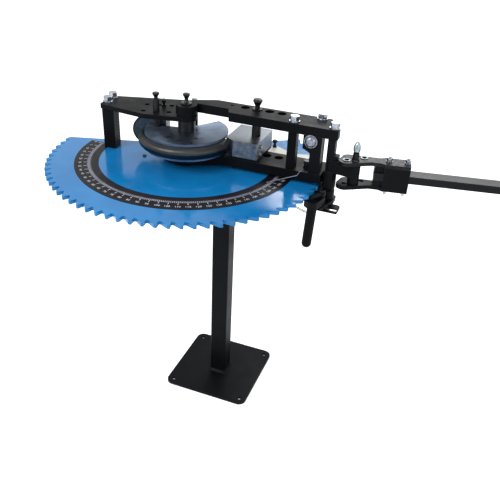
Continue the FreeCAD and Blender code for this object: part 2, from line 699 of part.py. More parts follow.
def frame_plates():
    hub = rod(0, 0, Z_LOWER_LOW, Z_LOWER_TOP, LOWER_HUB_R)
    front, right, back = LOWER_HANGER_MARGIN
    hanger_front = HANGER[2] - front
    hanger_right = HANGER[1] + right
    hanger_back = HANGER[3] + back
    corners = [*LOWER_NECK, (LOWER_END, LOWER_FRONT, PLATE_SHARP_R), (LOWER_END, hanger_front),
               (hanger_right, hanger_front, PLATE_SHARP_R), (hanger_right, hanger_back, PLATE_SOFT_R),
               (LOWER_END, LOWER_BACK, PLATE_SOFT_R), *LOWER_HEEL]
    lower = plate(corners, Z_LOWER_LOW, Z_LOWER_TOP).fuse(hub)
    holes = row_holes(Z_LOWER_LOW, Z_LOWER_TOP, COUNTER_PIN_R + RUN_GAP)
    holes.append(rod(0, 0, Z_LOWER_LOW, Z_LOWER_TOP, CENTRE_PIN_R + RUN_GAP))
    holes += [bolt_hole(x, y, Z_LOWER_LOW, Z_LOWER_TOP, SMALL_BOLT) for x, y in hanger_bolt_places()]
    holes.append(bolt_hole(*PLATE_BOLT_PLACE, Z_LOWER_TOP - PLATE_BOLT_DEPTH, Z_LOWER_TOP, PLATE_BOLT))
    save("lower_frame_plate", cut_all(lower, holes).removeSplitter())

    neck = [*UPPER_NECK, (UPPER_END, FRAME_FRONT, PLATE_SHARP_R), (UPPER_END, UPPER_CUT[1], PLATE_CORNER_R),
            (UPPER_CUT[0], FRAME_BACK, PLATE_SOFT_R), *UPPER_HEEL]
    upper = plate(neck, Z_UPPER_LOW, Z_UPPER_TOP).fuse(rod(0, 0, Z_UPPER_LOW, Z_UPPER_TOP, HUB_R))
    holes = row_holes(Z_UPPER_LOW, Z_UPPER_TOP, COUNTER_PIN_R + RUN_GAP)
    holes.append(rod(0, 0, Z_UPPER_LOW, Z_UPPER_TOP, CENTRE_PIN_R + RUN_GAP))
    holes.append(rod(SMALL_HOLE_X, ROW_Y, Z_UPPER_LOW, Z_UPPER_TOP, SMALL_HOLE_R))
    holes += [bolt_hole(x, y, Z_UPPER_LOW, Z_UPPER_TOP) for x, y in post_bolt_places()]
    holes.append(rod(*HUB_AXIS, Z_UPPER_LOW, Z_UPPER_TOP, HUB_TOP_PIN_R + RUN_GAP))
    save("upper_frame_plate", cut_all(upper, holes).removeSplitter())


def frame_posts():
    depth = UPPER_T + POST_BOLT_DEPTH
    inner_place, back_place = post_bolt_places()
    inner = box(*INNER_POST, Z_LOWER_TOP, Z_UPPER_LOW)
    save("inner_post", inner.cut(bolt_hole(*inner_place, Z_UPPER_TOP - depth, Z_UPPER_LOW)))
    back = rod(*back_place, Z_LOWER_TOP, Z_UPPER_LOW, BACK_POST_R)
    save("back_post", back.cut(bolt_hole(*back_place, Z_UPPER_TOP - depth, Z_UPPER_LOW)))
    save("frame_bolts", group([hex_bolt(x, y, Z_UPPER_TOP, depth) for x, y in post_bolt_places()]))

    x, z = SIDE_BOLT
    face = END_FRONT - SIDE_FLANGE_T
    shank_l = END_BACK - END_FRONT - SIDE_SHANK_GAP
    end = upright_plate([(END_LEFT, Z_LOWER_TOP), (END_RIGHT, Z_LOWER_TOP), (END_RIGHT, Z_UPPER_LOW),
                         (END_BOSS_LEFT, Z_UPPER_LOW), (END_BOSS_LEFT, END_BOSS_Z[1]), (END_LEFT, END_BOSS_Z[0])],
                        END_FRONT, END_BACK)
    hole = Part.makeCylinder(SIDE_SHANK_R + BOLT_GAP, shank_l + 1.0, Vector(x, END_FRONT, z), ALONG_Y)
    save("end_plate", end.cut(hole))
    flange = Part.makeCylinder(SIDE_BOLT_R, SIDE_FLANGE_T, Vector(x, face, z), ALONG_Y)
    dome = Part.makeSphere(SIDE_BOLT_R * 0.98, Vector(x, face + 8.0, z))
    crown = Vector(x, face - SIDE_DOME_H, z)
    limit = Part.makeCylinder(SIDE_BOLT_R * 0.86, SIDE_DOME_H + SIDE_FLANGE_T, crown, ALONG_Y)
    shank = Part.makeCylinder(SIDE_SHANK_R, shank_l + SIDE_FLANGE_T, Vector(x, face, z), ALONG_Y)
    save("side_bolt", flange.fuse([dome.common(limit), shank]).removeSplitter())

    save("plate_bolt", hex_bolt(*PLATE_BOLT_PLACE, Z_LOWER_TOP, PLATE_BOLT_DEPTH, PLATE_BOLT))


def wear_pad_and_pointer():
    pad_top = Z_LOWER_LOW
    pad_low = RING_T + FREE_GAP
    left, right, front, middle = PAD_SEAT
    corners = [(left, front), (right, front), (right, middle), *reversed(PAD_EDGE), (left, middle)]
    pad = plate(corners, pad_low, pad_top)
    kx, ky = PAD_KNOB
    save("wear_pad", pad.cut(rod(kx, ky, PAD_SCREW_LOW - BOLT_GAP, pad_top, PAD_SCREW_R + BOLT_GAP)))
    profile = [(radius, pad_top + z) for radius, z in PAD_KNOB_PROFILE]
    knob = turned_profile([(0, pad_top)] + profile + [(0, profile[-1][1])], kx, ky)
    save("pad_knob", knob.fuse(rod(kx, ky, PAD_SCREW_LOW, pad_top, PAD_SCREW_R)).removeSplitter())

    y = LOWER_FRONT - POINTER_R
    root = Vector(POINTER_ROOT[0], y, POINTER_ROOT[1])
    elbow = Vector(POINTER_ELBOW[0], y, POINTER_ELBOW[1])
    tip = Vector(*POINTER_TIP)
    wire = Part.makeCylinder(POINTER_R, (root - elbow).Length, elbow, root - elbow)
    reach = Part.makeCone(POINTER_R * POINTER_TIP_SHARE, POINTER_R, (elbow - tip).Length, tip, elbow - tip)
    ball = Part.makeSphere(POINTER_R, elbow)
    save("pointer", wire.fuse(ball).fuse(reach).removeSplitter())


def disc_corners():
    corners = []
    for k in range(TEETH):
        tip = FIRST_TIP_DEG + k * TOOTH_DEG
        corners.append(polar(TIP_R, tip - TIP_LAND_DEG))
        corners.append(polar(TIP_R, tip))
        corners.append((*polar(ROOT_R, tip + STEEP_DEG), GULLET_R))
    return corners


def line_meets(first_deg, first_distance, second_deg, second_distance):
    """The point where two lines meet, each given by its normal's direction and distance."""
    a, b = math.radians(first_deg), math.radians(second_deg)
    det = math.cos(a) * math.sin(b) - math.sin(a) * math.cos(b)
    x = (first_distance * math.sin(b) - second_distance * math.sin(a)) / det
    y = (second_distance * math.cos(a) - first_distance * math.cos(b)) / det
    return x, y


def turntable():
    corner_r = TIP_R - BACK_CORNER_INSET
    left = polar(corner_r, BACK_LEFT_DEG + math.degrees(math.acos(BACK_LEFT_DISTANCE / corner_r)))
    right = polar(corner_r, BACK_RIGHT_DEG - math.degrees(math.acos(BACK_RIGHT_DISTANCE / corner_r)))
    apex = line_meets(BACK_LEFT_DEG, BACK_LEFT_DISTANCE, BACK_RIGHT_DEG, BACK_RIGHT_DISTANCE)
    corners = [(*left, DISC_CORNER_R)] + disc_corners()[1:] + [(*right, END_CORNER_R), (*apex, BACK_APEX_R)]
    disc = plate(corners, Z_DISC_LOW, 0.0)
    disc = disc.cut([rod(0, 0, Z_DISC_LOW, 0, CENTRE_PIN_R + RUN_GAP),
                     rod(*STOP_BOLT, Z_DISC_LOW, 0, STOP_BOLT_R + BOLT_GAP)])
    save("toothed_disc", disc)
    ring = ring_sector(RING_INNER_R, RING_OUTER_R, RING_ZERO_DEG - RING_MARGIN_DEG,
                       RING_ZERO_DEG + SCALE_DEG + RING_MARGIN_DEG, 0.0, RING_T)
    save("degree_ring", ring.cut(leg_solid(FREE_GAP, RING_T)))
    stop = hexagon(*STOP_BOLT, 0.0, STOP_BOLT_H, STOP_BOLT_AF).fuse(rod(*STOP_BOLT, Z_DISC_LOW, 0.0, STOP_BOLT_R))
    save("disc_bolt", stop.removeSplitter())
    washer = rod(0, 0, 0, Z_LOWER_LOW - THRUST_GAP, DISC_WASHER_R)
    save("disc_washer", washer.cut(rod(0, 0, 0, Z_LOWER_LOW, CENTRE_PIN_R + RUN_GAP)))


def leg_bolt_places():
    return [placed(LEG_CENTRE, x, y, LEG_DEG) for x, y in LEG_BOLTS]


def leg_solid(margin, height):
    """The leg's block and the narrower rib behind it, grown sideways by a margin."""
    cx, cy = LEG_CENTRE
    half_w = LEG_SIZE[0] / 2 + margin
    half_d = LEG_SIZE[1] / 2 + margin
    block = box(cx - half_w, cx + half_w, cy - half_d, cy + half_d, 0, height)
    left, right, length = LEG_RIB
    rib = box(cx + left - margin, cx + right + margin, cy, cy + half_d + length, 0, height)
    return turned(block.fuse(rib).removeSplitter(), LEG_DEG, LEG_CENTRE)


def swing_arm():
    depth = SWING_T + POST_BOLT_DEPTH
    bolts = leg_bolt_places()
    leg = leg_solid(0.0, Z_SWING_LOW)
    save("swing_leg", cut_all(leg, [bolt_hole(x, y, Z_SWING_TOP - depth, Z_SWING_LOW) for x, y in bolts]))

    corners = [(*ARM_LEFT_FRONT, ARM_SIDE_R), (ARM_BEND_X, ARM_FRONT, ARM_BEND_R), (*ARM_NOSE, ARM_NOSE_R),
               (ARM_HUB_R - ARM_HUB_INSET, 0.0, PLATE_CORNER_R), (ARM_RIGHT_BACK, ARM_BACK, ARM_SIDE_R),
               (ARM_LEFT_BACK, ARM_BACK, ARM_BACK_R)]
    swing = plate(corners, Z_SWING_LOW, Z_SWING_TOP).fuse(rod(0, 0, Z_SWING_LOW, Z_SWING_TOP, ARM_HUB_R))
    swing = turned(swing, ARM_DEG)
    holes = [rod(0, 0, Z_SWING_LOW, Z_SWING_TOP, CENTRE_PIN_R + RUN_GAP)]
    for x in ARM_HOLE_X:
        for y in ARM_HOLE_Y:
            holes.append(rod(*arm_point(x, y), Z_SWING_LOW, Z_SWING_TOP, ARM_HOLE_R))
    holes += [bolt_hole(x, y, Z_SWING_LOW, Z_SWING_TOP) for x, y in bolts]
    holes.append(bolt_hole(*REAR_POST, Z_SWING_LOW, Z_SWING_TOP, SMALL_BOLT))
    holes.append(rod(*LOCK_PIN, Z_SWING_LOW, Z_SWING_TOP, LOCK_PIN_R + RUN_GAP))
    save("swing_plate", cut_all(swing, holes).removeSplitter())
    save("swing_bolts", group([hex_bolt(x, y, Z_SWING_TOP, depth) for x, y in bolts]))

    post = rod(*REAR_POST, 0, Z_SWING_LOW, REAR_POST_R)
    save("rear_post", post.cut(bolt_hole(*REAR_POST, Z_SWING_LOW - REAR_BOLT_DEPTH, Z_SWING_LOW, SMALL_BOLT)))
    save("rear_post_bolt", hex_bolt(*REAR_POST, Z_SWING_TOP, SWING_T + REAR_BOLT_DEPTH, SMALL_BOLT))
    collar = rod(0, 0, Z_DIE_TOP, Z_SWING_LOW, COLLAR_R)
    save("hub_collar", collar.cut(rod(0, 0, Z_DIE_TOP, Z_SWING_LOW, CENTRE_PIN_R + RUN_GAP)))
    top = rod(0, 0, Z_SWING_TOP, Z_UPPER_LOW - THRUST_GAP, COLLAR_R)
    save("top_washer", top.cut(rod(0, 0, Z_SWING_TOP, Z_UPPER_LOW, CENTRE_PIN_R + RUN_GAP)))


def bend_die():
    die = rod(0, 0, Z_DIE_LOW, Z_DIE_TOP, DIE_R)
    groove = Part.makeTorus(BEND_R, TUBE_R + TUBE_GAP, Vector(0, 0, Z_TUBE))
    vx, vy = DIE_VERTEX
    reach = 2.0 * DIE_R
    first = polar(reach, DIE_EDGE_DEG[0])
    last = polar(reach, DIE_EDGE_DEG[1])
    wedge = plate([(vx, vy), (vx + first[0], vy + first[1]), (vx, vy + 2 * reach), (vx + last[0], vy + last[1])],
                  Z_DIE_LOW, Z_DIE_TOP)
    die = die.cut([groove, wedge]).fuse(rod(0, 0, Z_DIE_LOW, Z_DIE_TOP, DIE_HUB_R))
    sx, sy, deep = DIE_SLOT_SIZE
    slot = turned(box(-sx / 2, sx / 2, -sy / 2, sy / 2, Z_DIE_TOP - deep, Z_DIE_TOP), DIE_SLOT_DEG)
    slot = moved(slot, *DIE_SLOT_CENTRE)
    drive = rod(*arm_point(ARM_HOLE_X[1], ARM_HOLE_Y[0]), Z_DIE_LOW, Z_DIE_TOP, ARM_HOLE_R)
    die = die.cut([slot, drive, rod(0, 0, Z_DIE_LOW, Z_DIE_TOP, CENTRE_PIN_R + RUN_GAP)])
    save("bend_die", die.removeSplitter())
    washer = rod(0, 0, Z_LOWER_TOP + THRUST_GAP, Z_DIE_LOW, DIE_WASHER_R)
    save("die_washer", washer.cut(rod(0, 0, Z_LOWER_TOP, Z_DIE_LOW, CENTRE_PIN_R + RUN_GAP)))


def tail_frame(shape):
    """Move a shape from the tail's frame, x outwards and y along the tail, to the pivot frame."""
    x, y = polar(BEND_R, BEND_END_DEG)
    turned_shape = turned(shape, BEND_END_DEG)
    mirrored = turned_shape.mirror(Vector(0, 0, 0), Vector(*polar(1.0, BEND_END_DEG + 90), 0))
    return moved(mirrored, x, y)


def tube_solid(radius):
    """The bent tube's outline as one solid of the given radius: the bend, then the straight tail."""
    start = Vector(*polar(BEND_R, BEND_END_DEG), Z_TUBE)
    heading = Vector(*polar(1.0, BEND_END_DEG - 90), 0)
    ring = Part.Face(Part.Wire(Part.makeCircle(radius, start, heading)))
    bend = ring.revolve(Vector(0, 0, 0), UP, BEND_START_DEG - BEND_END_DEG)
    return bend.fuse(Part.makeCylinder(radius, TAIL_LENGTH, start, heading)).removeSplitter()


def sample_tube():
    save("sample_tube", tube_solid(TUBE_R).cut(tube_solid(TUBE_R - TUBE_WALL)))


def hook_and_clamp():
    front, back = JAW_Y
    thick = back - front
    reach = 2.0 * JAW_R
    hook_r = JAW_R + HOOK_T
    centre = Vector(JAW_CENTRE_X, front, JAW_CENTRE_Z)
    round_jaw = Part.makeCylinder(JAW_R, thick, centre, ALONG_Y)
    outside = box(HOOK_NECK_X[0], JAW_CENTRE_X + reach, front, back, HOOK_FLOOR, JAW_CENTRE_Z + reach)
    band = Part.makeCylinder(hook_r, thick, centre, ALONG_Y).common(outside)
    neck = box(*HOOK_NECK_X, front, back, JAW_CENTRE_Z, Z_SWING_LOW)
    hook = band.fuse(neck).cut(round_jaw)
    save("hook_strap", tail_frame(hook.removeSplitter()))

    block = box(*CLAMP_X, *CLAMP_Y, Z_DIE_LOW, Z_SWING_LOW)
    jaw = round_jaw.common(outside)
    hole = Part.makeCylinder(TUBE_R + TUBE_GAP, thick, Vector(0, front, Z_TUBE), ALONG_Y)
    clamp = tail_frame(jaw.fuse(block).removeSplitter().cut(hole))
    save("clamp_block", clamp.cut(rod(*LOCK_PIN, Z_SWING_LOW - LOCK_PIN_DEPTH, Z_SWING_LOW, LOCK_PIN_R + RUN_GAP)))


def pins():
    top = Z_UPPER_TOP
    collar_r, collar_h = CENTRE_COLLAR
    low = Z_UNDER_LOW
    profile = knob_profile(top + collar_h + CENTRE_NECK[1], KNOB_R, CENTRE_KNOB_H)
    neck_r = CENTRE_NECK[0]
    centre = turned_profile([(0, low), (CENTRE_PIN_R, low), (CENTRE_PIN_R, top), (collar_r, top),
                             (collar_r, top + collar_h), (neck_r, top + collar_h + CENTRE_SLOPE)] + profile)
    save("centre_pin", centre)

    x, y = arm_point(ARM_HOLE_X[1], ARM_HOLE_Y[0])
    low = Z_DIE_LOW + PIN_END_GAP
    sleeve_top = Z_SWING_TOP + DRIVE_SLEEVE_H
    drive = turned_profile([(0, low), (DRIVE_PIN_R, low), (DRIVE_PIN_R, Z_SWING_TOP), (DRIVE_SLEEVE_R, Z_SWING_TOP),
                            (DRIVE_SLEEVE_R, sleeve_top)] + knob_profile(sleeve_top, KNOB_R, KNOB_H), x, y)
    save("drive_pin", drive)

    sleeve_r, sleeve_h = LOCK_SLEEVE
    low = Z_SWING_LOW - LOCK_PIN_DEPTH + LOCK_END_GAP
    sleeve_top = Z_SWING_TOP + sleeve_h
    lock = turned_profile([(0, low), (LOCK_PIN_R, low), (LOCK_PIN_R, Z_SWING_TOP), (sleeve_r, Z_SWING_TOP),
                           (sleeve_r, sleeve_top)] + knob_profile(sleeve_top, *LOCK_KNOB), *LOCK_PIN)
    save("lock_pin", lock)

    low = Z_LOWER_LOW + PIN_END_GAP
    wide = COUNTER_PIN_R + PIN_STEP
    collar_top = top + COUNTER_COLLAR_H
    counter = turned_profile([(0, low), (COUNTER_PIN_R, low), (COUNTER_PIN_R, top), (wide, top), (wide, collar_top)]
                             + knob_profile(collar_top, *COUNTER_KNOB), COUNTER_PIN_X, ROW_Y)
    save("counter_pin", counter)


def counter_die():
    top = COUNTER_LOW + COUNTER_T
    side = COUNTER_X[1]
    block = box(*COUNTER_X, *COUNTER_Y, COUNTER_LOW, top)
    block = block.makeChamfer(COUNTER_EDGE, [e for e in block.Edges if abs(e.tangentAt(0).z) > 0.9])
    length = COUNTER_Y[1] - COUNTER_Y[0]
    groove = Part.makeCylinder(TUBE_R + TUBE_GAP, length, Vector(BEND_R, COUNTER_Y[0], Z_TUBE), ALONG_Y)
    lead_x, lead_y = COUNTER_LEAD
    lead = plate([(COUNTER_X[0], COUNTER_Y[0]), (COUNTER_X[0] + lead_x, COUNTER_Y[0]),
                  (COUNTER_X[0], COUNTER_Y[0] + lead_y)], COUNTER_LOW, top)
    bore = rod(COUNTER_PIN_X, ROW_Y, COUNTER_LOW, top, COUNTER_PIN_R + RUN_GAP)
    radius, shank_l, head_r, head_h = COUNTER_SCREW
    tools = [groove, lead, bore]
    screws = []
    for z in COUNTER_SCREW_Z:
        start = Vector(side - shank_l, COUNTER_SCREW_Y, z)
        tools.append(Part.makeCylinder(radius + BOLT_GAP, shank_l, start, ALONG_X))
        shank = Part.makeCylinder(radius, shank_l, start, ALONG_X)
        head = Part.makeCylinder(head_r, head_h, Vector(side, COUNTER_SCREW_Y, z), ALONG_X)
        screws.append(head.fuse(shank).removeSplitter())
    save("counter_die", block.cut(tools).removeSplitter())
    save("counter_die_screws", group(screws))

    slide_low = Z_LOWER_TOP + FREE_GAP
    slide = box(COUNTER_X[0] + COUNTER_LEAD[0], side, COUNTER_Y[0] + SLIDE_INSET, COUNTER_Y[1] - SLIDE_INSET,
                slide_low, COUNTER_LOW)
    save("counter_slide", slide.cut(rod(COUNTER_PIN_X, ROW_Y, slide_low, COUNTER_LOW, COUNTER_PIN_R + RUN_GAP)))


def lever_hub():
    hx, hy = HUB_AXIS
    fx, fy = FOLD_AXIS
    px, py = DRIVE_PAWL_PIN
    half = HUB_POST_DEPTH / 2
    barrel_low = Z_UNDER_LOW + FREE_GAP
    post_top = Z_UPPER_LOW - FREE_GAP
    lug_top = Z_LOWER_LOW - LUG_TOP_GAP
    post = box(hx + HUB_POST_X[0], hx + HUB_POST_X[1], hy - half, hy + half, HUB_POST_LOW, post_top)
    barrel_bottom = rod(hx, hy, barrel_low, Z_NECK_LOW, HUB_BARREL_R)
    neck = rod(hx, hy, Z_NECK_LOW, Z_NECK_TOP, HUB_NECK_R)
    barrel_top = rod(hx, hy, Z_NECK_TOP, HUB_POST_LOW, HUB_BARREL_R)
    lugs = [rod(px, py, Z_UNDER_TOP + FREE_GAP, Z_NECK_LOW, LUG_R), rod(px, py, Z_NECK_TOP, lug_top, LUG_R)]
    tongue = tapered_bar(HUB_AXIS, TONGUE_R, FOLD_AXIS, FOLD_POST_R, TONGUE_LOW, TONGUE_TOP)
    reach, half_shoulder = SHOULDER
    shoulder = box(hx, hx + reach, hy - half_shoulder, hy + half_shoulder, TONGUE_LOW, Z_LEVER_TOP)
    boss_low = Z_CLEVIS_TOP + THRUST_GAP
    boss_top = Z_LEVER_LOW - THRUST_GAP
    boss = rod(fx, fy, boss_low, boss_top, FOLD_POST_R)
    hub = barrel_bottom.fuse([neck, barrel_top, post, tongue, shoulder, boss] + lugs)
    pin_low = Z_UPPER_TOP - HUB_TOP_PIN_DEPTH
    hub = hub.cut([
        rod(hx, hy, barrel_low, HUB_LOW_PIN_TOP + FREE_GAP, HUB_LOW_PIN_R + RUN_GAP),
        rod(hx, hy, pin_low - FREE_GAP, post_top, HUB_TOP_PIN_R + RUN_GAP),
        rod(px, py, Z_UNDER_TOP, lug_top, PAWL_PIN_R + RUN_GAP),
        rod(fx, fy, boss_low, boss_top, FOLD_PIN_R + RUN_GAP),
    ])
    save("lever_hub", hub.removeSplitter())
    size = (HUB_TOP_PIN_R, *BIG_BOLT[1:])
    save("hub_bolt", hex_bolt(hx, hy, Z_UPPER_TOP, HUB_TOP_PIN_DEPTH, size))
    head_r, head_h = PAWL_HEAD
    head = rod(px, py, lug_top, lug_top + head_h, head_r)
    save("drive_pawl_pin", rod(px, py, Z_UNDER_TOP + FREE_GAP, lug_top, PAWL_PIN_R).fuse(head).removeSplitter())

    top = Z_LEVER_TOP + BUSH[2] + THRUST_GAP
    low = CLEVIS_LOW - FOLD_PIN_TAIL
    finial = [(radius, top + z) for radius, z in FINIAL]
    pin = turned_profile([(0, low), (FOLD_PIN_R, low), (FOLD_PIN_R, top)] + finial + [(0, finial[-1][1])], fx, fy)
    save("fold_pin", pin)


def clevis_plate(z):
    start, end, width = SOCKET
    top = z + CLEVIS_T
    half = width / 2
    back, front, waist = [((x, y), radius) for x, y, radius in (BACK_LOBE, FRONT_LOBE, WAIST)]
    waist_x = WAIST[0]
    waist_half = WAIST[2]
    neck = plate([(waist_x, -waist_half), (start - SOCKET_FLARE, -waist_half), (start, -half, SOCKET_CORNER_R),
                  (end, -half, SOCKET_CORNER_R), (end, half, SOCKET_CORNER_R), (start, half, SOCKET_CORNER_R),
                  (start - SOCKET_FLARE, waist_half), (waist_x, waist_half)], z, top)
    bars = [tapered_bar(*first, *second, z, top) for first, second in ((back, front), (front, waist), (back, waist))]
    holes = [rod(*fold_point(), z, top, FOLD_PIN_R + RUN_GAP)]
    holes += [bolt_hole(x, 0, z, top, LEVER_BOLT) for x in LEVER_BOLT_X]
    holes += [rod(x, y, z, top, BUSH[0]) for x, y in BUSHES]
    return cut_all(neck.fuse(bars), holes).removeSplitter()


def lever_frame(shape):
    return moved(turned(shape, LEVER_DEG), *LEVER_ROOT)


def lever():
    start, end, width = SOCKET
    hole_r, bush_r, bush_h = BUSH
    bushes = [rod(x, y, Z_LEVER_TOP, Z_LEVER_TOP + bush_h, bush_r) for x, y in BUSHES]
    bushes.append(rod(*fold_point(), Z_LEVER_TOP, Z_LEVER_TOP + bush_h, bush_r + 1.0))
    upper = clevis_plate(Z_LEVER_LOW).fuse(bushes)
    tools = [rod(x, y, Z_LEVER_TOP, Z_LEVER_TOP + bush_h, hole_r) for x, y in BUSHES]
    tools.append(rod(*fold_point(), Z_LEVER_TOP, Z_LEVER_TOP + bush_h, FOLD_PIN_R + RUN_GAP))
    save("upper_lever_plate", lever_frame(upper.cut(tools).removeSplitter()))
    save("lower_lever_plate", lever_frame(clevis_plate(CLEVIS_LOW)))

    bar_middle = Z_CLEVIS_TOP + CLEVIS_GAP / 2
    half_w = BAR_WIDTH / 2
    half_h = BAR_HEIGHT / 2
    side = width / 2 - SOCKET_INSET
    slack_w = half_w + THRUST_GAP
    slack_h = half_h + THRUST_GAP
    socket = box(start, end, -side, side, Z_CLEVIS_TOP, Z_LEVER_LOW)
    web = box(WEB[0], start, -WEB[1], WEB[1], Z_CLEVIS_TOP, Z_LEVER_LOW)
    passage = box(WEB[0], end, -slack_w, slack_w, bar_middle - slack_h, bar_middle + slack_h)
    bolt_tools = [bolt_hole(x, 0, Z_CLEVIS_TOP, Z_LEVER_LOW, LEVER_BOLT) for x in LEVER_BOLT_X]
    save("socket_block", lever_frame(socket.fuse(web).removeSplitter().cut([passage] + bolt_tools)))

    bar_end = BAR_START + BAR_LENGTH
    low = bar_middle - half_h
    high = bar_middle + half_h
    inner_w = half_w - BAR_WALL
    bar = box(BAR_START, bar_end, -half_w, half_w, low, high)
    bore = box(BAR_START, bar_end, -inner_w, inner_w, low + BAR_WALL, high - BAR_WALL)
    save("lever_bar", lever_frame(bar.cut([bore] + bolt_tools)))
    cap_t, tenon_l = BAR_PLUG
    plugs = []
    for x, inward in ((BAR_START, 1), (bar_end, -1)):
        outer_x = x - inward * cap_t
        inner_x = x + inward * tenon_l
        cap = box(min(x, outer_x), max(x, outer_x), -half_w, half_w, low, high)
        tenon = box(min(x, inner_x), max(x, inner_x), -inner_w, inner_w, low + BAR_WALL, high - BAR_WALL)
        plugs.append(cap.fuse(tenon).removeSplitter())
    save("bar_end_caps", lever_frame(group(plugs)))

    bolts = []
    below, above = LEVER_BOLT_OUT
    for x in LEVER_BOLT_X:
        rod_long = rod(x, 0, CLEVIS_LOW - below, Z_LEVER_TOP + above, LEVER_BOLT[0])
        upper_nut = hex_bolt(x, 0, Z_LEVER_TOP, CLEVIS_T, LEVER_BOLT)
        lower_nut = upturned_bolt(x, 0, CLEVIS_LOW, CLEVIS_T, LEVER_BOLT)
        bolts.append(rod_long.fuse([upper_nut, lower_nut]).removeSplitter())
    save("lever_bolts", lever_frame(group(bolts)))


def pawl_blade(tooth, pin, blade, z0, z1):
    """A straight blade from a pin into the gullet after a tooth, along the next tooth's sloping back.
    It is short enough to swing out past the tooth's tip."""
    tip = FIRST_TIP_DEG + tooth * TOOTH_DEG
    root = Vector(*polar(ROOT_R, tip + STEEP_DEG), 0)
    crest = Vector(*polar(TIP_R, tip + TOOTH_DEG - TIP_LAND_DEG), 0)
    inward = (root - crest).normalize()
    outward = Vector(-inward.y, inward.x, 0)
    near, far = blade
    reach = (Vector(*polar(TIP_R, tip), 0) - Vector(*pin, 0)).Length - FREE_GAP
    tip_length = math.sqrt(reach ** 2 - far ** 2)
    corners = []
    for length, offset in ((0, near), (0, far), (tip_length, far), (tip_length, near)):
        point = Vector(*pin, 0) + inward * length + outward * offset
        corners.append((point.x, point.y))
    return plate(corners, z0, z1)


def leaned(shape):
    """Lean the grip's pieces about the top of its stem."""
    copy = shape.copy()
    copy.rotate(Vector(*STEM, GRIP_TOP), ALONG_Y, GRIP_LEAN_DEG)
    return copy


def pawls():
    low, high = Z_DISC_LOW + PAWL_GAP, -PAWL_GAP
    finger = pawl_blade(DRIVE_TOOTH, DRIVE_PAWL_PIN, DRIVE_BLADE, low, high)
    eye = rod(*DRIVE_PAWL_PIN, low, high, DRIVE_EYE_R)
    drive = finger.fuse(eye).cut(rod(*DRIVE_PAWL_PIN, low, high, PAWL_PIN_R + RUN_GAP))
    save("drive_pawl", turned(drive.removeSplitter(), DRIVE_PAWL_SWING, DRIVE_PAWL_PIN))

    hx, hy = HOLD_PAWL_PIN
    blade = pawl_blade(HOLD_TOOTH, HOLD_PAWL_PIN, HOLD_BLADE, low, high)
    arm = turned(blade, HOLD_PAWL_SWING, HOLD_PAWL_PIN)
    hub = rod(hx, hy, low, high, HOLD_EYE_R)
    spacer = rod(hx, hy, Z_UNDER_LOW + FREE_GAP, low, HOLD_SPACER_R)
    crank = tapered_bar(HOLD_PAWL_PIN, HOLD_EYE_R, STEM, CRANK_R, *CRANK_Z)
    ear = tapered_bar(STEM, CRANK_R, CRANK_EAR[:2], CRANK_EAR[2], *CRANK_Z)
    stem = leaned(rod(*STEM, GRIP_TOP - STEM_LENGTH, CRANK_Z[0] + HOLD_SPACER_R, STEM_R))
    pawl = arm.fuse([hub, spacer, crank, ear, stem]).cut(rod(hx, hy, Z_UNDER_LOW, 0.0, HOLD_PIN_R + RUN_GAP))
    save("hold_pawl", pawl.removeSplitter())
    round_low = GRIP_TOP - GRIP_LENGTH + GRIP_R
    crown = GRIP_TOP + STEM_R
    grip = rod(*STEM, round_low, crown, GRIP_R).fuse(Part.makeSphere(GRIP_R, Vector(*STEM, round_low)))
    hole = rod(*STEM, GRIP_TOP - STEM_LENGTH - FREE_GAP, crown, STEM_R + RUN_GAP)
    above = moved(box(-2 * GRIP_R, 2 * GRIP_R, -2 * GRIP_R, 2 * GRIP_R, GRIP_TOP, crown + STEM_R), *STEM)
    save("grip", leaned(grip.removeSplitter().cut(hole)).cut(above))


def biarc(start, start_dir, end, end_dir):
    """Two arcs that leave start and reach end along the given unit directions."""
    chord = end - start
    total = start_dir + end_dir
    a = 2 * (1 - start_dir.dot(end_dir))
    b = 2 * chord.dot(total)
    c = -chord.dot(chord)
    length = (-b + math.sqrt(b * b - 4 * a * c)) / (2 * a) if a > 1e-9 else -c / b
    first = start + start_dir * length
    second = end - end_dir * length
    joint = (first + second) * 0.5
    edges = []
    for p0, control, p1 in ((start, first, joint), (joint, second, end)):
        middle = (p0 + p1) * 0.5
        toward = control - middle
        half_chord = (p1 - p0).Length / 2
        bend = math.atan2(toward.Length, half_chord)
        if toward.Length < 1e-7:
            edges.append(Part.LineSegment(p0, p1).toShape())
            continue
        rise = half_chord * math.tan(bend / 2)
        edges.append(Part.Arc(p0, middle + toward.normalize() * rise, p1).toShape())
    return edges


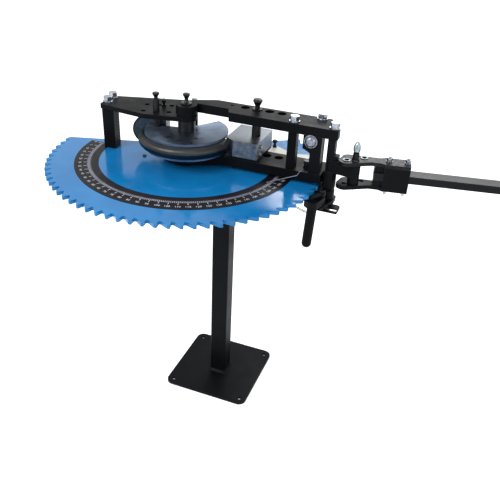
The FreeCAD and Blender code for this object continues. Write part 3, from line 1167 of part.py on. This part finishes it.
def spring():
    """A tension spring whose axis is level, from the grip to a post under the arm."""
    quarters = SPRING_TURNS * 4
    rise = SPRING_PITCH / 4
    slope = SPRING_PITCH / (2 * math.pi * SPRING_R)
    tilt = math.sqrt(1 + slope * slope)

    def on_helix(k):
        angle = k * math.pi / 2
        point = Vector(SPRING_R * math.cos(angle), SPRING_R * math.sin(angle), k * rise)
        heading = Vector(-math.sin(angle) / tilt, math.cos(angle) / tilt, slope / tilt)
        return point, heading

    lead = 2 * SPRING_WIRE_R + SPRING_HOOK
    start = Vector(0, 0, -SPRING_LEAD)
    end = Vector(0, 0, quarters * rise + SPRING_LEAD)
    edges = [Part.LineSegment(start, start + UP * lead).toShape()]
    edges += biarc(start + UP * lead, UP, *on_helix(0))
    for k in range(quarters):
        edges += biarc(*on_helix(k), *on_helix(k + 1))
    edges += biarc(*on_helix(quarters), end - UP * lead, UP)
    edges.append(Part.LineSegment(end - UP * lead, end).toShape())
    section = Part.Wire(Part.makeCircle(SPRING_WIRE_R, start, UP))
    coil = Part.Wire(edges).makePipeShell([section], True, False)
    coil.rotate(Vector(0, 0, 0), ALONG_Y, 90)
    coil.rotate(Vector(0, 0, 0), UP, SPRING_DEG)
    x, y = placed(spring_root(), GRIP_R + FREE_GAP + SPRING_LEAD, 0.0, SPRING_DEG)
    save("pawl_spring", moved(coil, x, y, SPRING_Z))


base_and_column()
under_frame()
loop_and_lower_pins()
frame_plates()
frame_posts()
wear_pad_and_pointer()
turntable()
swing_arm()
bend_die()
sample_tube()
hook_and_clamp()
pins()
counter_die()
lever_hub()
lever()
pawls()
spring()
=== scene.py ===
import json
import math

import bpy
from mathutils import Matrix, Vector


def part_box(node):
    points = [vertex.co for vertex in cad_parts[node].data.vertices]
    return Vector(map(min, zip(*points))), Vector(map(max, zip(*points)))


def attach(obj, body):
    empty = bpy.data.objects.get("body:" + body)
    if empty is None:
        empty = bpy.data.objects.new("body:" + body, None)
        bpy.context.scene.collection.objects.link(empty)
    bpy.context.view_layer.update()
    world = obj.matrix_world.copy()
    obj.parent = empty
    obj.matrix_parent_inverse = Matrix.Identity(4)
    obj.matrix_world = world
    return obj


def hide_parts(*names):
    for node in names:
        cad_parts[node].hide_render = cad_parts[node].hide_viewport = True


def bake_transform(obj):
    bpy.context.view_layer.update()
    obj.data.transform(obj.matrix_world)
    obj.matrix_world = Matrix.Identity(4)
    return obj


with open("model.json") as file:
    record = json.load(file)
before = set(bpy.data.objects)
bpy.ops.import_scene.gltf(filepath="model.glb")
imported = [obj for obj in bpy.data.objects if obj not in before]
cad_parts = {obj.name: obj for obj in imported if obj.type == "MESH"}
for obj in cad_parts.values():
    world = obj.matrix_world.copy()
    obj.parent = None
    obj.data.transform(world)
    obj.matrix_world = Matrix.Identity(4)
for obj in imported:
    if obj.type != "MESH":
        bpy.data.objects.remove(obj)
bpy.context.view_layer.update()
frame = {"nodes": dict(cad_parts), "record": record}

nodes = frame["nodes"]

# The die's pivot and the degree ring's top face, read from the frame
PIN_LOW, PIN_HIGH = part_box("centre_pin")
PIVOT_X = (PIN_LOW.x + PIN_HIGH.x) / 2
PIVOT_Y = (PIN_LOW.y + PIN_HIGH.y) / 2
RING_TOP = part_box("degree_ring")[1].z

# Degree scale
BAND_INNER = 0.3345
BAND_OUTER = 0.348
BAND_STEPS = 180
TICK_INNER = 0.349
TICK_OUTER = 0.360
TICK_WIDTH = 0.0019
FINE_TICK_WIDTH = 0.0012
FINE_TICK_INNER_GAP = 0.003
FINE_TICK_OUTER_GAP = 0.0005
LABEL_R = 0.3725
LABEL_SIZE = 0.0135
SCALE_ZERO_DEG = 181.4
SCALE_DEG = 180
LABEL_STEP = 5
INK_T = 0.00012

# Pawl spring, measured from the grip's axis along the spring
SPRING_DEG = 153.0
SPRING_WIRE = 0.0008
COIL_R = 0.0034
COIL_TURNS = 17
COIL_START = 0.0266
COIL_END = 0.0826
COIL_POINTS = 20
GRIP_GAP = 0.0168
EYE_AT = 0.0196
EYE_R = 0.0026
EYE_WIRE = 0.0008
EYE_SHANK = 0.003
HOOK_R = 0.0030
HOOK_OPENS_DEG = 50
PEG_AT = 0.0971
PEG_LOOP_R = 0.0062
PEG_LOOP_END_DEG = 490
WIRE_BEVEL_STEPS = 3

# Weld under the column's head
WELD_SIDE = 0.0655
WELD_CORNER_R = 0.009
WELD_R = 0.0032

# Camera, fitted to the photograph
CAMERA_POS = (0.7533, -1.8366, 1.7706)
CAMERA_AZIMUTH = 19.49
CAMERA_DOWN = 31.20
CAMERA_ROLL = 2.96
CAMERA_LENS = 45.92
SENSOR = 36.0
FAR_CLIP = 50

# Studio: each light has its place, its target, its size and its power
LIGHTS = {
    "key": ((-1.4, -2.4, 3.0), (0.1, 0.0, 0.8), (1.6, 1.6), 70),
    "fill": ((2.6, -1.2, 2.0), (0.2, 0.0, 0.8), (1.6, 1.6), 16),
    "back": ((0.4, 2.6, 2.6), (0.1, 0.1, 0.9), (2.4, 1.2), 45),
}
ROOM_COLOUR = (0.95, 0.97, 1.0, 1)
ROOM_LIGHT = 0.75
WHITE = (1, 1, 1, 1)
FLOOR_COLOUR = (0.9, 0.9, 0.9, 1)
FLOOR_ROUGH = 0.8
FLOOR_HALF = 12.0
FLOOR_GAP = 0.0005
FLOOR_LIFT = 0.5

# Shading: edge radii, bump heights and bare tips, in metres
BEVEL_SAMPLES = 6
EDGE_SHARP_LOW = 0.02
EDGE_SHARP_HIGH = 0.25
EDGE_R = 0.0012
FINE_EDGE_R = 0.0009
METAL_EDGE_R = 0.0008
PEEL_HEIGHT = 0.0002
STREAK_HEIGHT = 0.0001
RING_HEIGHT = 0.00006
COAT_ROUGH = 0.08
RING_SHEEN = 0.8
TIP_METALLIC = 0.8
METAL_ROUGH_SCALE = 0.7
TONE_LOW = 0.3
TONE_HIGH = 0.7
TIP_BELOW_TOP = 0.034
BUSH_BAND = 0.0012

# Noise of each look: scale per metre, and detail
EDGE_BREAKS = (60, 4)
PAINT_TONES = (9, 5)
PAINT_ROUGHNESS = (14, 6)
TURNED_TONES = (7, 4)
TURNED_ROUGHNESS = (40, 5)
TIPPED_STREAKS = (160, 4)
TIPPED_ROUGHNESS = (90, 5)
PLASTIC_TONES = (30, 4)
PLASTIC_ROUGHNESS = (50, 4)


def linear(red, green, blue):
    """A display colour from 0 to 255 as the linear colour that renders like it."""
    channels = []
    for value in (red, green, blue):
        v = value / 255
        channels.append(v / 12.92 if v <= 0.04045 else ((v + 0.055) / 1.055) ** 2.4)
    return (*channels, 1.0)


class Finish:
    """A procedural material: colour variation, roughness, bump, and lighter sharp edges that are partly
    rubbed wear and partly a painted edge highlight.
    """

    def __init__(self, name):
        self.mat = bpy.data.materials.new(name)
        self.mat.use_nodes = True
        self.tree = self.mat.node_tree
        self.shader = self.tree.nodes["Principled BSDF"]
        self.coords = self.add("ShaderNodeTexCoord").outputs["Object"]
        self.height = None

    def add(self, kind, **settings):
        node = self.tree.nodes.new(kind)
        for key, value in settings.items():
            setattr(node, key, value)
        return node

    def link(self, source, target):
        self.tree.links.new(source, target)

    def noise(self, scale, detail=3.0, stretch=None):
        vector = self.coords
        if stretch is not None:
            mapping = self.add("ShaderNodeMapping")
            mapping.inputs["Scale"].default_value = stretch
            self.link(vector, mapping.inputs["Vector"])
            vector = mapping.outputs["Vector"]
        node = self.add("ShaderNodeTexNoise")
        node.inputs["Scale"].default_value = scale
        node.inputs["Detail"].default_value = detail
        self.link(vector, node.inputs["Vector"])
        return node.outputs["Fac"]

    def from_axis(self, x, y):
        """The vector from a vertical axis through x, y."""
        shift = self.add("ShaderNodeVectorMath", operation="SUBTRACT")
        shift.inputs[1].default_value = (x, y, 0)
        self.link(self.coords, shift.inputs[0])
        return shift.outputs[0]

    def radius(self, x, y):
        """Distance from a vertical axis through x, y."""
        flat = self.add("ShaderNodeVectorMath", operation="MULTIPLY")
        flat.inputs[1].default_value = (1, 1, 0)
        self.link(self.from_axis(x, y), flat.inputs[0])
        length = self.add("ShaderNodeVectorMath", operation="LENGTH")
        self.link(flat.outputs[0], length.inputs[0])
        return length.outputs["Value"]

    def turned_about(self, x, y):
        """Lay the sheen of fine turned rings about a vertical axis."""
        around = self.add("ShaderNodeVectorMath", operation="CROSS_PRODUCT")
        around.inputs[0].default_value = (0, 0, 1)
        self.link(self.from_axis(x, y), around.inputs[1])
        world = self.add("ShaderNodeVectorTransform", vector_type="VECTOR",
                         convert_from="OBJECT", convert_to="WORLD")
        self.link(around.outputs[0], world.inputs[0])
        self.link(world.outputs[0], self.shader.inputs["Tangent"])

    def ramp(self, factor, stops):
        node = self.add("ShaderNodeValToRGB")
        elements = node.color_ramp.elements
        while len(elements) < len(stops):
            elements.new(0.5)
        for element, (place, colour) in zip(elements, stops):
            element.position = place
            element.color = colour
        self.link(factor, node.inputs["Fac"])
        return node.outputs["Color"]

    def tones(self, factor, dark, light, low=TONE_LOW, high=TONE_HIGH):
        """A colour that runs between two shades."""
        return self.ramp(factor, [(low, dark), (high, light)])

    def spread(self, factor, low, high, from_low=TONE_LOW, from_high=TONE_HIGH):
        """A value carried from one range to another."""
        node = self.add("ShaderNodeMapRange")
        node.inputs["From Min"].default_value = from_low
        node.inputs["From Max"].default_value = from_high
        node.inputs["To Min"].default_value = low
        node.inputs["To Max"].default_value = high
        self.link(factor, node.inputs["Value"])
        return node.outputs["Result"]

    def edge(self, radius):
        """One on sharp edges, zero on flats."""
        bevel = self.add("ShaderNodeBevel", samples=BEVEL_SAMPLES)
        bevel.inputs["Radius"].default_value = radius
        geometry = self.add("ShaderNodeNewGeometry")
        dot = self.add("ShaderNodeVectorMath", operation="DOT_PRODUCT")
        self.link(bevel.outputs["Normal"], dot.inputs[0])
        self.link(geometry.outputs["Normal"], dot.inputs[1])
        sharp = self.add("ShaderNodeMapRange")
        sharp.inputs["From Min"].default_value = 1 - EDGE_SHARP_LOW
        sharp.inputs["From Max"].default_value = 1 - EDGE_SHARP_HIGH
        self.link(dot.outputs["Value"], sharp.inputs["Value"])
        broken = self.add("ShaderNodeMath", operation="MULTIPLY")
        self.link(sharp.outputs["Result"], broken.inputs[0])
        self.link(self.spread(self.noise(*EDGE_BREAKS), 0.25, 1.0, 0.35, 0.6), broken.inputs[1])
        return broken.outputs["Value"]

    def mix(self, factor, low, high):
        node = self.add("ShaderNodeMix", data_type="RGBA")
        self.link(factor, node.inputs["Factor"])
        for socket, value in ((node.inputs[6], low), (node.inputs[7], high)):
            if isinstance(value, tuple):
                socket.default_value = value
            else:
                self.link(value, socket)
        return node.outputs[2]

    def soften(self, radius):
        """Round the edges in the shading only."""
        bevel = self.add("ShaderNodeBevel", samples=BEVEL_SAMPLES)
        bevel.inputs["Radius"].default_value = radius
        self.height = bevel.outputs["Normal"]
        self.link(self.height, self.shader.inputs["Normal"])

    def above(self, z):
        """One above a height, zero below it."""
        split = self.add("ShaderNodeSeparateXYZ")
        self.link(self.coords, split.inputs[0])
        step = self.add("ShaderNodeMath", operation="GREATER_THAN")
        step.inputs[1].default_value = z
        self.link(split.outputs["Z"], step.inputs[0])
        return step.outputs["Value"]

    def bump(self, factor, strength, distance):
        node = self.add("ShaderNodeBump")
        node.inputs["Strength"].default_value = strength
        node.inputs["Distance"].default_value = distance
        self.link(factor, node.inputs["Height"])
        if self.height is not None:
            self.link(self.height, node.inputs["Normal"])
        self.height = node.outputs["Normal"]
        self.link(self.height, self.shader.inputs["Normal"])

    def colour(self, value):
        self.link(value, self.shader.inputs["Base Color"])

    def rough(self, factor, value, less, more):
        """Roughness that varies about a value."""
        self.link(self.spread(factor, value - less, value + more), self.shader.inputs["Roughness"])

    def set(self, **values):
        for key, value in values.items():
            self.shader.inputs[key.replace("_", " ")].default_value = value


def paint(name, dark, light, worn_and_highlit, rough, grain=700.0, gloss=0.0, edge_r=EDGE_R, shine=0.06):
    """Powder coat: slight mottling, orange peel, and lighter edges that are partly rubbed wear and
    partly a painted edge highlight.
    """
    f = Finish(name)
    mottled = f.tones(f.noise(*PAINT_TONES), dark, light)
    # Sharp edges take the lighter edge tone, partly rubbed paint and partly a painted edge highlight
    f.colour(f.mix(f.edge(edge_r), mottled, worn_and_highlit))
    f.rough(f.noise(*PAINT_ROUGHNESS), rough, less=0.06, more=0.1)
    f.soften(edge_r)
    f.bump(f.noise(grain, 2), 0.14, PEEL_HEIGHT)
    f.set(Coat_Weight=gloss, Coat_Roughness=COAT_ROUGH, Specular_IOR_Level=shine)
    return f.mat


def metal(name, dark, light, rough, stretch=None, scale=220.0, bump=0.15, metallic=1.0):
    """Bare or plated metal with streaks along one direction."""
    f = Finish(name)
    streak = f.noise(scale, 4, stretch)
    # Sharp edges take the light tone: a painted edge highlight
    f.colour(f.mix(f.edge(METAL_EDGE_R), f.tones(streak, dark, light), light))
    f.rough(f.noise(scale * METAL_ROUGH_SCALE, 5, stretch), rough, less=0.07, more=0.1)
    f.bump(streak, bump, STREAK_HEIGHT)
    f.set(Metallic=metallic)
    return f.mat


def turned_metal(name, dark, light, rough, x, y, groove=2600.0, metallic=1.0):
    """Lathe-turned metal: fine rings about a vertical axis, over broad soft shades."""
    f = Finish(name)
    wave = f.add("ShaderNodeMath", operation="MULTIPLY")
    wave.inputs[1].default_value = groove
    f.link(f.radius(x, y), wave.inputs[0])
    sine = f.add("ShaderNodeMath", operation="SINE")
    f.link(wave.outputs["Value"], sine.inputs[0])
    rings = f.spread(sine.outputs["Value"], 0.0, 1.0, -1.0, 1.0)
    f.colour(f.tones(f.noise(*TURNED_TONES), dark, light, 0.35, 0.65))
    f.rough(f.noise(*TURNED_ROUGHNESS), rough, less=0.05, more=0.08)
    f.bump(rings, 0.25, RING_HEIGHT)
    f.turned_about(x, y)
    f.set(Metallic=metallic, Anisotropic=RING_SHEEN)
    return f.mat


def tipped_metal(name, foot, tip, z, rough):
    """Blackened metal that is bare above a height."""
    f = Finish(name)
    streak = f.noise(*TIPPED_STREAKS)
    low = f.tones(streak, foot, FOOT_LIGHT)
    high = f.tones(streak, tip, TIP_LIGHT)
    f.colour(f.mix(f.above(z), low, high))
    f.rough(f.noise(*TIPPED_ROUGHNESS), rough, less=0.06, more=0.1)
    f.bump(streak, 0.15, STREAK_HEIGHT)
    f.set(Metallic=TIP_METALLIC)
    return f.mat


def plastic(name, dark, light, rough, grain=900.0, bump=0.2, shine=0.5):
    """Moulded plastic, rubber or printed ink, with a fine grain."""
    f = Finish(name)
    f.colour(f.tones(f.noise(*PLASTIC_TONES), dark, light))
    f.rough(f.noise(*PLASTIC_ROUGHNESS), rough, less=0.05, more=0.08)
    f.bump(f.noise(grain, 2), bump, PEEL_HEIGHT)
    f.set(Specular_IOR_Level=shine)
    return f.mat


# Heights above which the fold pin and the lever plate's bushes are bare, and the milling's direction
PIN_BARE_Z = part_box("fold_pin")[1].z - TIP_BELOW_TOP
BUSH_BARE_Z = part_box("upper_lever_plate")[1].z - BUSH_BAND
ALONG_Y = (1.0, 26.0, 1.0)

FOOT_LIGHT = linear(34, 35, 38)
TIP_LIGHT = linear(172, 186, 190)
BLACK = linear(9, 10, 12)
BLACK_LIGHT = linear(14, 15, 18)
frame_paint = paint("frame_black", BLACK, BLACK_LIGHT, linear(60, 62, 70), 0.40)
bar_paint = paint("lever_paint", linear(10, 12, 14), linear(16, 18, 21), linear(70, 76, 84), 0.26,
                  shine=0.13)
disc_paint = paint("disc_blue", linear(10, 108, 170), linear(20, 122, 184), linear(90, 160, 205), 0.14,
                   gloss=0.15, edge_r=FINE_EDGE_R, shine=0.25)
zinc = metal("zinc", linear(140, 146, 154), linear(186, 192, 200), 0.26, scale=60.0, bump=0.04)
jaw_steel = metal("jaw_steel", linear(46, 58, 66), linear(68, 84, 94), 0.38, scale=120.0, metallic=0.7)
dome_steel = metal("dome_steel", linear(104, 108, 118), linear(158, 162, 174), 0.26, scale=160.0)
plate_skin = tipped_metal("lever_plate", BLACK, linear(56, 62, 66), BUSH_BARE_Z, 0.4)
hand_steel = metal("pawl_steel", linear(26, 26, 28), linear(44, 44, 47), 0.4, metallic=0.7)
oxide = metal("black_oxide", linear(18, 18, 20), linear(36, 36, 39), 0.33, metallic=0.6)
pin_skin = tipped_metal("fold_pin_steel", linear(20, 20, 22), linear(126, 142, 148), PIN_BARE_Z, 0.30)
tube_skin = turned_metal("tube_skin", linear(46, 48, 50), linear(66, 68, 70), 0.34, PIVOT_X, PIVOT_Y,
                         groove=900.0)
die_skin = turned_metal("die_skin", linear(104, 120, 144), linear(140, 156, 176), 0.32, PIVOT_X, PIVOT_Y)
bronze = turned_metal("bronze", linear(128, 92, 52), linear(162, 122, 74), 0.38, PIVOT_X, PIVOT_Y)
milled = metal("milled", linear(92, 100, 108), linear(140, 146, 150), 0.36, ALONG_Y, 60.0, 0.15)
spring_wire = metal("spring_wire", linear(150, 152, 156), linear(200, 202, 206), 0.26, scale=300.0)
pad_skin = plastic("pad_plastic", linear(206, 202, 190), linear(222, 219, 208), 0.42)
black_skin = plastic("black_plastic", linear(10, 10, 12), linear(17, 17, 20), 0.38, shine=0.2)
rubber = plastic("grip_rubber", linear(8, 8, 9), linear(13, 13, 15), 0.5, 500.0, 0.35, 0.06)
scale_skin = plastic("scale_black", linear(14, 14, 19), linear(22, 21, 28), 0.36, shine=0.1)
ink_pale = plastic("scale_marks", linear(190, 190, 198), linear(214, 214, 222), 0.45)
ink_grey = plastic("scale_band", linear(58, 58, 76), linear(76, 76, 94), 0.42, shine=0.15)

BY_SLOT = {
    "frame_black": frame_paint, "lever_paint": bar_paint, "disc_blue": disc_paint,
    "scale_black": scale_skin, "bright_steel": zinc, "pin_steel": oxide, "die_steel": die_skin,
    "bronze": bronze, "tube_steel": tube_skin, "aluminium": milled, "pad_plastic": pad_skin,
    "black_plastic": black_skin, "grip_rubber": rubber,
}
BLACKENED = ("hook_strap", "hub_collar", "top_washer", "disc_washer", "die_washer", "hub_lower_pin",
             "hold_pawl_pin", "under_bolts", "disc_bolt", "plate_bolt")
BY_NODE = {
    **dict.fromkeys(BLACKENED, oxide),
    "clamp_block": jaw_steel, "loop_bracket": frame_paint, "hold_pawl": frame_paint,
    "drive_pawl": hand_steel, "fold_pin": pin_skin, "side_bolt": dome_steel,
    "upper_lever_plate": plate_skin,
}
for part in frame["record"]["subparts"]:
    finish = BY_NODE.get(part["node"], BY_SLOT[part["material_slot"]])
    for material_slot in nodes[part["node"]].material_slots:
        material_slot.material = finish


def mesh_piece(name, verts, faces, material, body):
    """A mesh as a piece that rides on a body."""
    mesh = bpy.data.meshes.new(name)
    mesh.from_pydata(verts, [], faces)
    mesh.update()
    piece = bpy.data.objects.new(name, mesh)
    bpy.context.scene.collection.objects.link(piece)
    piece.data.materials.append(material)
    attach(piece, body)


def curve_piece(name, curve, material, place=(0, 0, 0), turn=0.0):
    """A curve or a text as a mesh, at its place and turned about the vertical."""
    holder = bpy.data.objects.new(curve.name, curve)
    bpy.context.scene.collection.objects.link(holder)
    holder.location = place
    holder.rotation_euler = (0, 0, turn)
    bpy.context.view_layer.update()
    graph = bpy.context.evaluated_depsgraph_get()
    mesh = bpy.data.meshes.new_from_object(holder.evaluated_get(graph))
    mesh.transform(holder.matrix_world)
    bpy.data.objects.remove(holder)
    mesh.materials.clear()
    mesh.materials.append(material)
    piece = bpy.data.objects.new(name, mesh)
    bpy.context.scene.collection.objects.link(piece)
    return piece


def on_disc(radius, degrees, z):
    """A point at a radius and an angle about the pivot."""
    angle = math.radians(degrees)
    return (PIVOT_X + radius * math.cos(angle), PIVOT_Y + radius * math.sin(angle), z)


def slab(outline, z0, z1):
    """Vertices and faces of an upright prism over an outline of (x, y, z) points."""
    count = len(outline)
    verts = [(x, y, z0) for x, y, _ in outline] + [(x, y, z1) for x, y, _ in outline]
    faces = [list(range(count))[::-1], list(range(count, 2 * count))]
    for i in range(count):
        j = (i + 1) % count
        faces.append([i, j, count + j, count + i])
    return verts, faces


def joined(name, solids, material, body):
    """Many prisms as one piece."""
    verts, faces = [], []
    for solid_verts, solid_faces in solids:
        start = len(verts)
        verts += solid_verts
        faces += [[start + i for i in face] for face in solid_faces]
    mesh_piece(name, verts, faces, material, body)


def scale_angle(value):
    """The angle about the pivot at which the scale reads a value."""
    return SCALE_ZERO_DEG + value


def scale_band():
    """The grey band under the fine ticks, an arc whose caps are strips of quads."""
    start, end = SCALE_ZERO_DEG, SCALE_ZERO_DEG + SCALE_DEG
    turns = [(end - start) * k / BAND_STEPS for k in range(BAND_STEPS + 1)]
    outline = [on_disc(BAND_OUTER, start + turn, 0) for turn in turns]
    outline += [on_disc(BAND_INNER, end - turn, 0) for turn in turns]
    count = len(outline)
    verts = [(x, y, z) for z in (RING_TOP, RING_TOP + INK_T) for x, y, _ in outline]
    faces = []
    for k in range(BAND_STEPS):
        a, b = k, k + 1
        c, d = count - 2 - k, count - 1 - k
        faces.append([a + count, b + count, c + count, d + count])
        faces.append([d, c, b, a])
    for i in range(count):
        j = (i + 1) % count
        faces.append([i, j, count + j, count + i])
    mesh_piece("scale_band", verts, faces, ink_grey, "turntable")


def tick(degrees, inner, outer, width, lift=0.0):
    """A radial line of ink between two radii."""
    half = width / 2
    x0, y0, _ = on_disc(inner, degrees, 0)
    x1, y1, _ = on_disc(outer, degrees, 0)
    across = Vector((-(y1 - y0), x1 - x0, 0)).normalized() * half
    outline = [(x0 - across.x, y0 - across.y, 0), (x1 - across.x, y1 - across.y, 0),
               (x1 + across.x, y1 + across.y, 0), (x0 + across.x, y0 + across.y, 0)]
    outline.reverse()
    return slab(outline, RING_TOP + lift, RING_TOP + lift + INK_T)


def scale_marks():
    long_ticks = [tick(scale_angle(value), TICK_INNER, TICK_OUTER, TICK_WIDTH)
                  for value in range(0, SCALE_DEG + 1, LABEL_STEP)]
    inner, outer = BAND_INNER + FINE_TICK_INNER_GAP, BAND_OUTER - FINE_TICK_OUTER_GAP
    fine_ticks = [tick(scale_angle(value), inner, outer, FINE_TICK_WIDTH, INK_T)
                  for value in range(SCALE_DEG + 1)]
    joined("scale_ticks", long_ticks, ink_pale, "turntable")
    joined("scale_fine_ticks", fine_ticks, ink_pale, "turntable")


def scale_numbers():
    for value in range(0, SCALE_DEG + 1, LABEL_STEP):
        curve = bpy.data.curves.new("number", "FONT")
        curve.body = str(value)
        curve.size = LABEL_SIZE
        curve.align_x = "CENTER"
        curve.align_y = "CENTER"
        curve.extrude = INK_T / 2
        curve.resolution_u = 2
        degrees = scale_angle(value)
        piece = curve_piece(f"scale_number_{value}", curve, ink_pale,
                            on_disc(LABEL_R, degrees, RING_TOP + INK_T / 2), math.radians(degrees + 90))
        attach(piece, "turntable")


def wire_piece(name, points, radius, material, closed=False):
    """A round wire through points, as a mesh."""
    curve = bpy.data.curves.new(name, "CURVE")
    curve.dimensions = "3D"
    curve.bevel_depth = radius
    curve.bevel_resolution = WIRE_BEVEL_STEPS
    curve.use_fill_caps = True
    spline = curve.splines.new("POLY")
    spline.points.add(len(points) - 1)
    for point, place in zip(spline.points, points):
        point.co = (*place, 1.0)
    spline.use_cyclic_u = closed
    piece = curve_piece(name, curve, material)
    for face in piece.data.polygons:
        face.use_smooth = True
    return piece


def circle(centre, radius, first, last, steps=24):
    """Points (u, v) on an arc about (centre, 0), with angles in degrees."""
    points = []
    for k in range(steps + 1):
        angle = math.radians(first + (last - first) * k / steps)
        points.append((centre + radius * math.cos(angle), radius * math.sin(angle)))
    return points


def pawl_spring():
    """A tension spring from an eye in the grip to the peg under the arm."""
    low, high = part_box("pawl_spring")
    angle = math.radians(SPRING_DEG)
    along = Vector((math.cos(angle), math.sin(angle), 0))
    across = Vector((-along.y, along.x, 0))
    up = Vector((0, 0, 1))
    root = Vector((high.x, low.y, (low.z + high.z) / 2)) - along * GRIP_GAP

    def spot(u, v, w=0.0):
        return root + along * u + across * v + up * w

    points = [spot(u, v) for u, v in circle(EYE_AT + HOOK_R, HOOK_R, HOOK_OPENS_DEG, 360)]
    count = COIL_TURNS * COIL_POINTS
    for k in range(count + 1):
        turn = 2 * math.pi * k / COIL_POINTS
        u = COIL_START + (COIL_END - COIL_START) * k / count
        points.append(spot(u, COIL_R * math.cos(turn), COIL_R * math.sin(turn)))
    points += [spot(u, v) for u, v in circle(PEG_AT, PEG_LOOP_R, 180, PEG_LOOP_END_DEG)]
    coil = wire_piece("tension_spring", points, SPRING_WIRE, spring_wire)
    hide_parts("pawl_spring")
    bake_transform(coil)

    ring = [spot(EYE_AT + x, 0, z) for x, z in circle(0.0, EYE_R, 180, 540)]
    path = [spot(GRIP_GAP - EYE_SHANK, 0)] + ring
    eye = wire_piece("spring_eye", path, EYE_WIRE, spring_wire)
    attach(eye, "hold_pawl")


def rounded_square(x, y, z, side, corner_r, steps=6):
    """Points around a level square with round corners."""
    points = []
    inner = side / 2 - corner_r
    for k, (sx, sy) in enumerate(((1, 1), (-1, 1), (-1, -1), (1, -1))):
        for i in range(steps + 1):
            angle = math.radians(90 * k + 90 * i / steps)
            points.append((x + sx * inner + corner_r * math.cos(angle),
                           y + sy * inner + corner_r * math.sin(angle), z))
    return points


def head_weld():
    """The bead around the column, under its head."""
    low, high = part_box("column_head")
    x, y = (low.x + high.x) / 2, (low.y + high.y) / 2
    path = rounded_square(x, y, low.z, WELD_SIDE, WELD_CORNER_R)
    bead = wire_piece("head_weld", path, WELD_R, frame_paint, closed=True)
    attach(bead, "frame")


scale_band()
scale_marks()
scale_numbers()
pawl_spring()
head_weld()


def look_direction(azimuth, down):
    """The way a camera looks, from its two angles in degrees."""
    a, e = math.radians(azimuth), math.radians(down)
    return Vector((-math.sin(a) * math.cos(e), math.cos(a) * math.cos(e), -math.sin(e)))


def set_camera():
    data = bpy.data.cameras.new("camera")
    data.lens = CAMERA_LENS
    data.sensor_width = SENSOR
    data.sensor_fit = "HORIZONTAL"
    data.clip_end = FAR_CLIP
    camera = bpy.data.objects.new("camera", data)
    bpy.context.scene.collection.objects.link(camera)
    forward = look_direction(CAMERA_AZIMUTH, CAMERA_DOWN)
    a, r = math.radians(CAMERA_AZIMUTH), math.radians(CAMERA_ROLL)
    right = Vector((math.cos(a), math.sin(a), 0))
    up = right.cross(forward)
    rolled_right = right * math.cos(r) + up * math.sin(r)
    rolled_up = up * math.cos(r) - right * math.sin(r)
    turn = Matrix((rolled_right, rolled_up, -forward)).transposed().to_4x4()
    camera.matrix_world = Matrix.Translation(CAMERA_POS) @ turn
    bpy.context.scene.camera = camera


def area_light(name, place, target, size, power):
    data = bpy.data.lights.new(name, "AREA")
    data.shape = "RECTANGLE"
    data.size, data.size_y = size
    data.energy = power
    lamp = bpy.data.objects.new(name, data)
    bpy.context.scene.collection.objects.link(lamp)
    lamp.location = place
    lamp.rotation_euler = (Vector(target) - Vector(place)).to_track_quat("-Z", "Y").to_euler()


def seen_ray(tree):
    """One for camera, mirror and glass rays, zero for the rays that light the object."""
    path = tree.nodes.new("ShaderNodeLightPath")
    total = path.outputs["Is Camera Ray"]
    for ray in ("Is Glossy Ray", "Is Transmission Ray"):
        larger = tree.nodes.new("ShaderNodeMath")
        larger.operation = "MAXIMUM"
        tree.links.new(total, larger.inputs[0])
        tree.links.new(path.outputs[ray], larger.inputs[1])
        total = larger.outputs[0]
    return total


def set_world():
    world = bpy.data.worlds.new("studio")
    bpy.context.scene.world = world
    world.use_nodes = True
    tree = world.node_tree
    room = tree.nodes["Background"]
    room.inputs["Color"].default_value = ROOM_COLOUR
    room.inputs["Strength"].default_value = ROOM_LIGHT
    white = tree.nodes.new("ShaderNodeBackground")
    white.inputs["Color"].default_value = WHITE
    mix = tree.nodes.new("ShaderNodeMixShader")
    tree.links.new(seen_ray(tree), mix.inputs["Fac"])
    tree.links.new(room.outputs[0], mix.inputs[1])
    tree.links.new(white.outputs[0], mix.inputs[2])
    tree.links.new(mix.outputs[0], tree.nodes["World Output"].inputs["Surface"])


def set_floor():
    half = FLOOR_HALF
    mesh = bpy.data.meshes.new("floor")
    corners = [(-half, -half, 0), (half, -half, 0), (half, half, 0), (-half, half, 0)]
    mesh.from_pydata(corners, [], [[0, 1, 2, 3]])
    floor = bpy.data.objects.new("floor", mesh)
    floor.location.z = -FLOOR_GAP
    bpy.context.scene.collection.objects.link(floor)
    mat = bpy.data.materials.new("floor")
    mat.use_nodes = True
    tree = mat.node_tree
    shader = tree.nodes["Principled BSDF"]
    shader.inputs["Base Color"].default_value = FLOOR_COLOUR
    shader.inputs["Roughness"].default_value = FLOOR_ROUGH
    lift = tree.nodes.new("ShaderNodeEmission")
    amount = tree.nodes.new("ShaderNodeMath")
    amount.operation = "MULTIPLY"
    amount.inputs[1].default_value = FLOOR_LIFT
    tree.links.new(seen_ray(tree), amount.inputs[0])
    tree.links.new(amount.outputs[0], lift.inputs["Strength"])
    plus = tree.nodes.new("ShaderNodeAddShader")
    tree.links.new(shader.outputs[0], plus.inputs[0])
    tree.links.new(lift.outputs[0], plus.inputs[1])
    tree.links.new(plus.outputs[0], tree.nodes["Material Output"].inputs["Surface"])
    mesh.materials.append(mat)


set_camera()
set_world()
set_floor()
for light_name, settings in LIGHTS.items():
    area_light(light_name, *settings)

bpy.context.scene.view_settings.view_transform = "Standard"
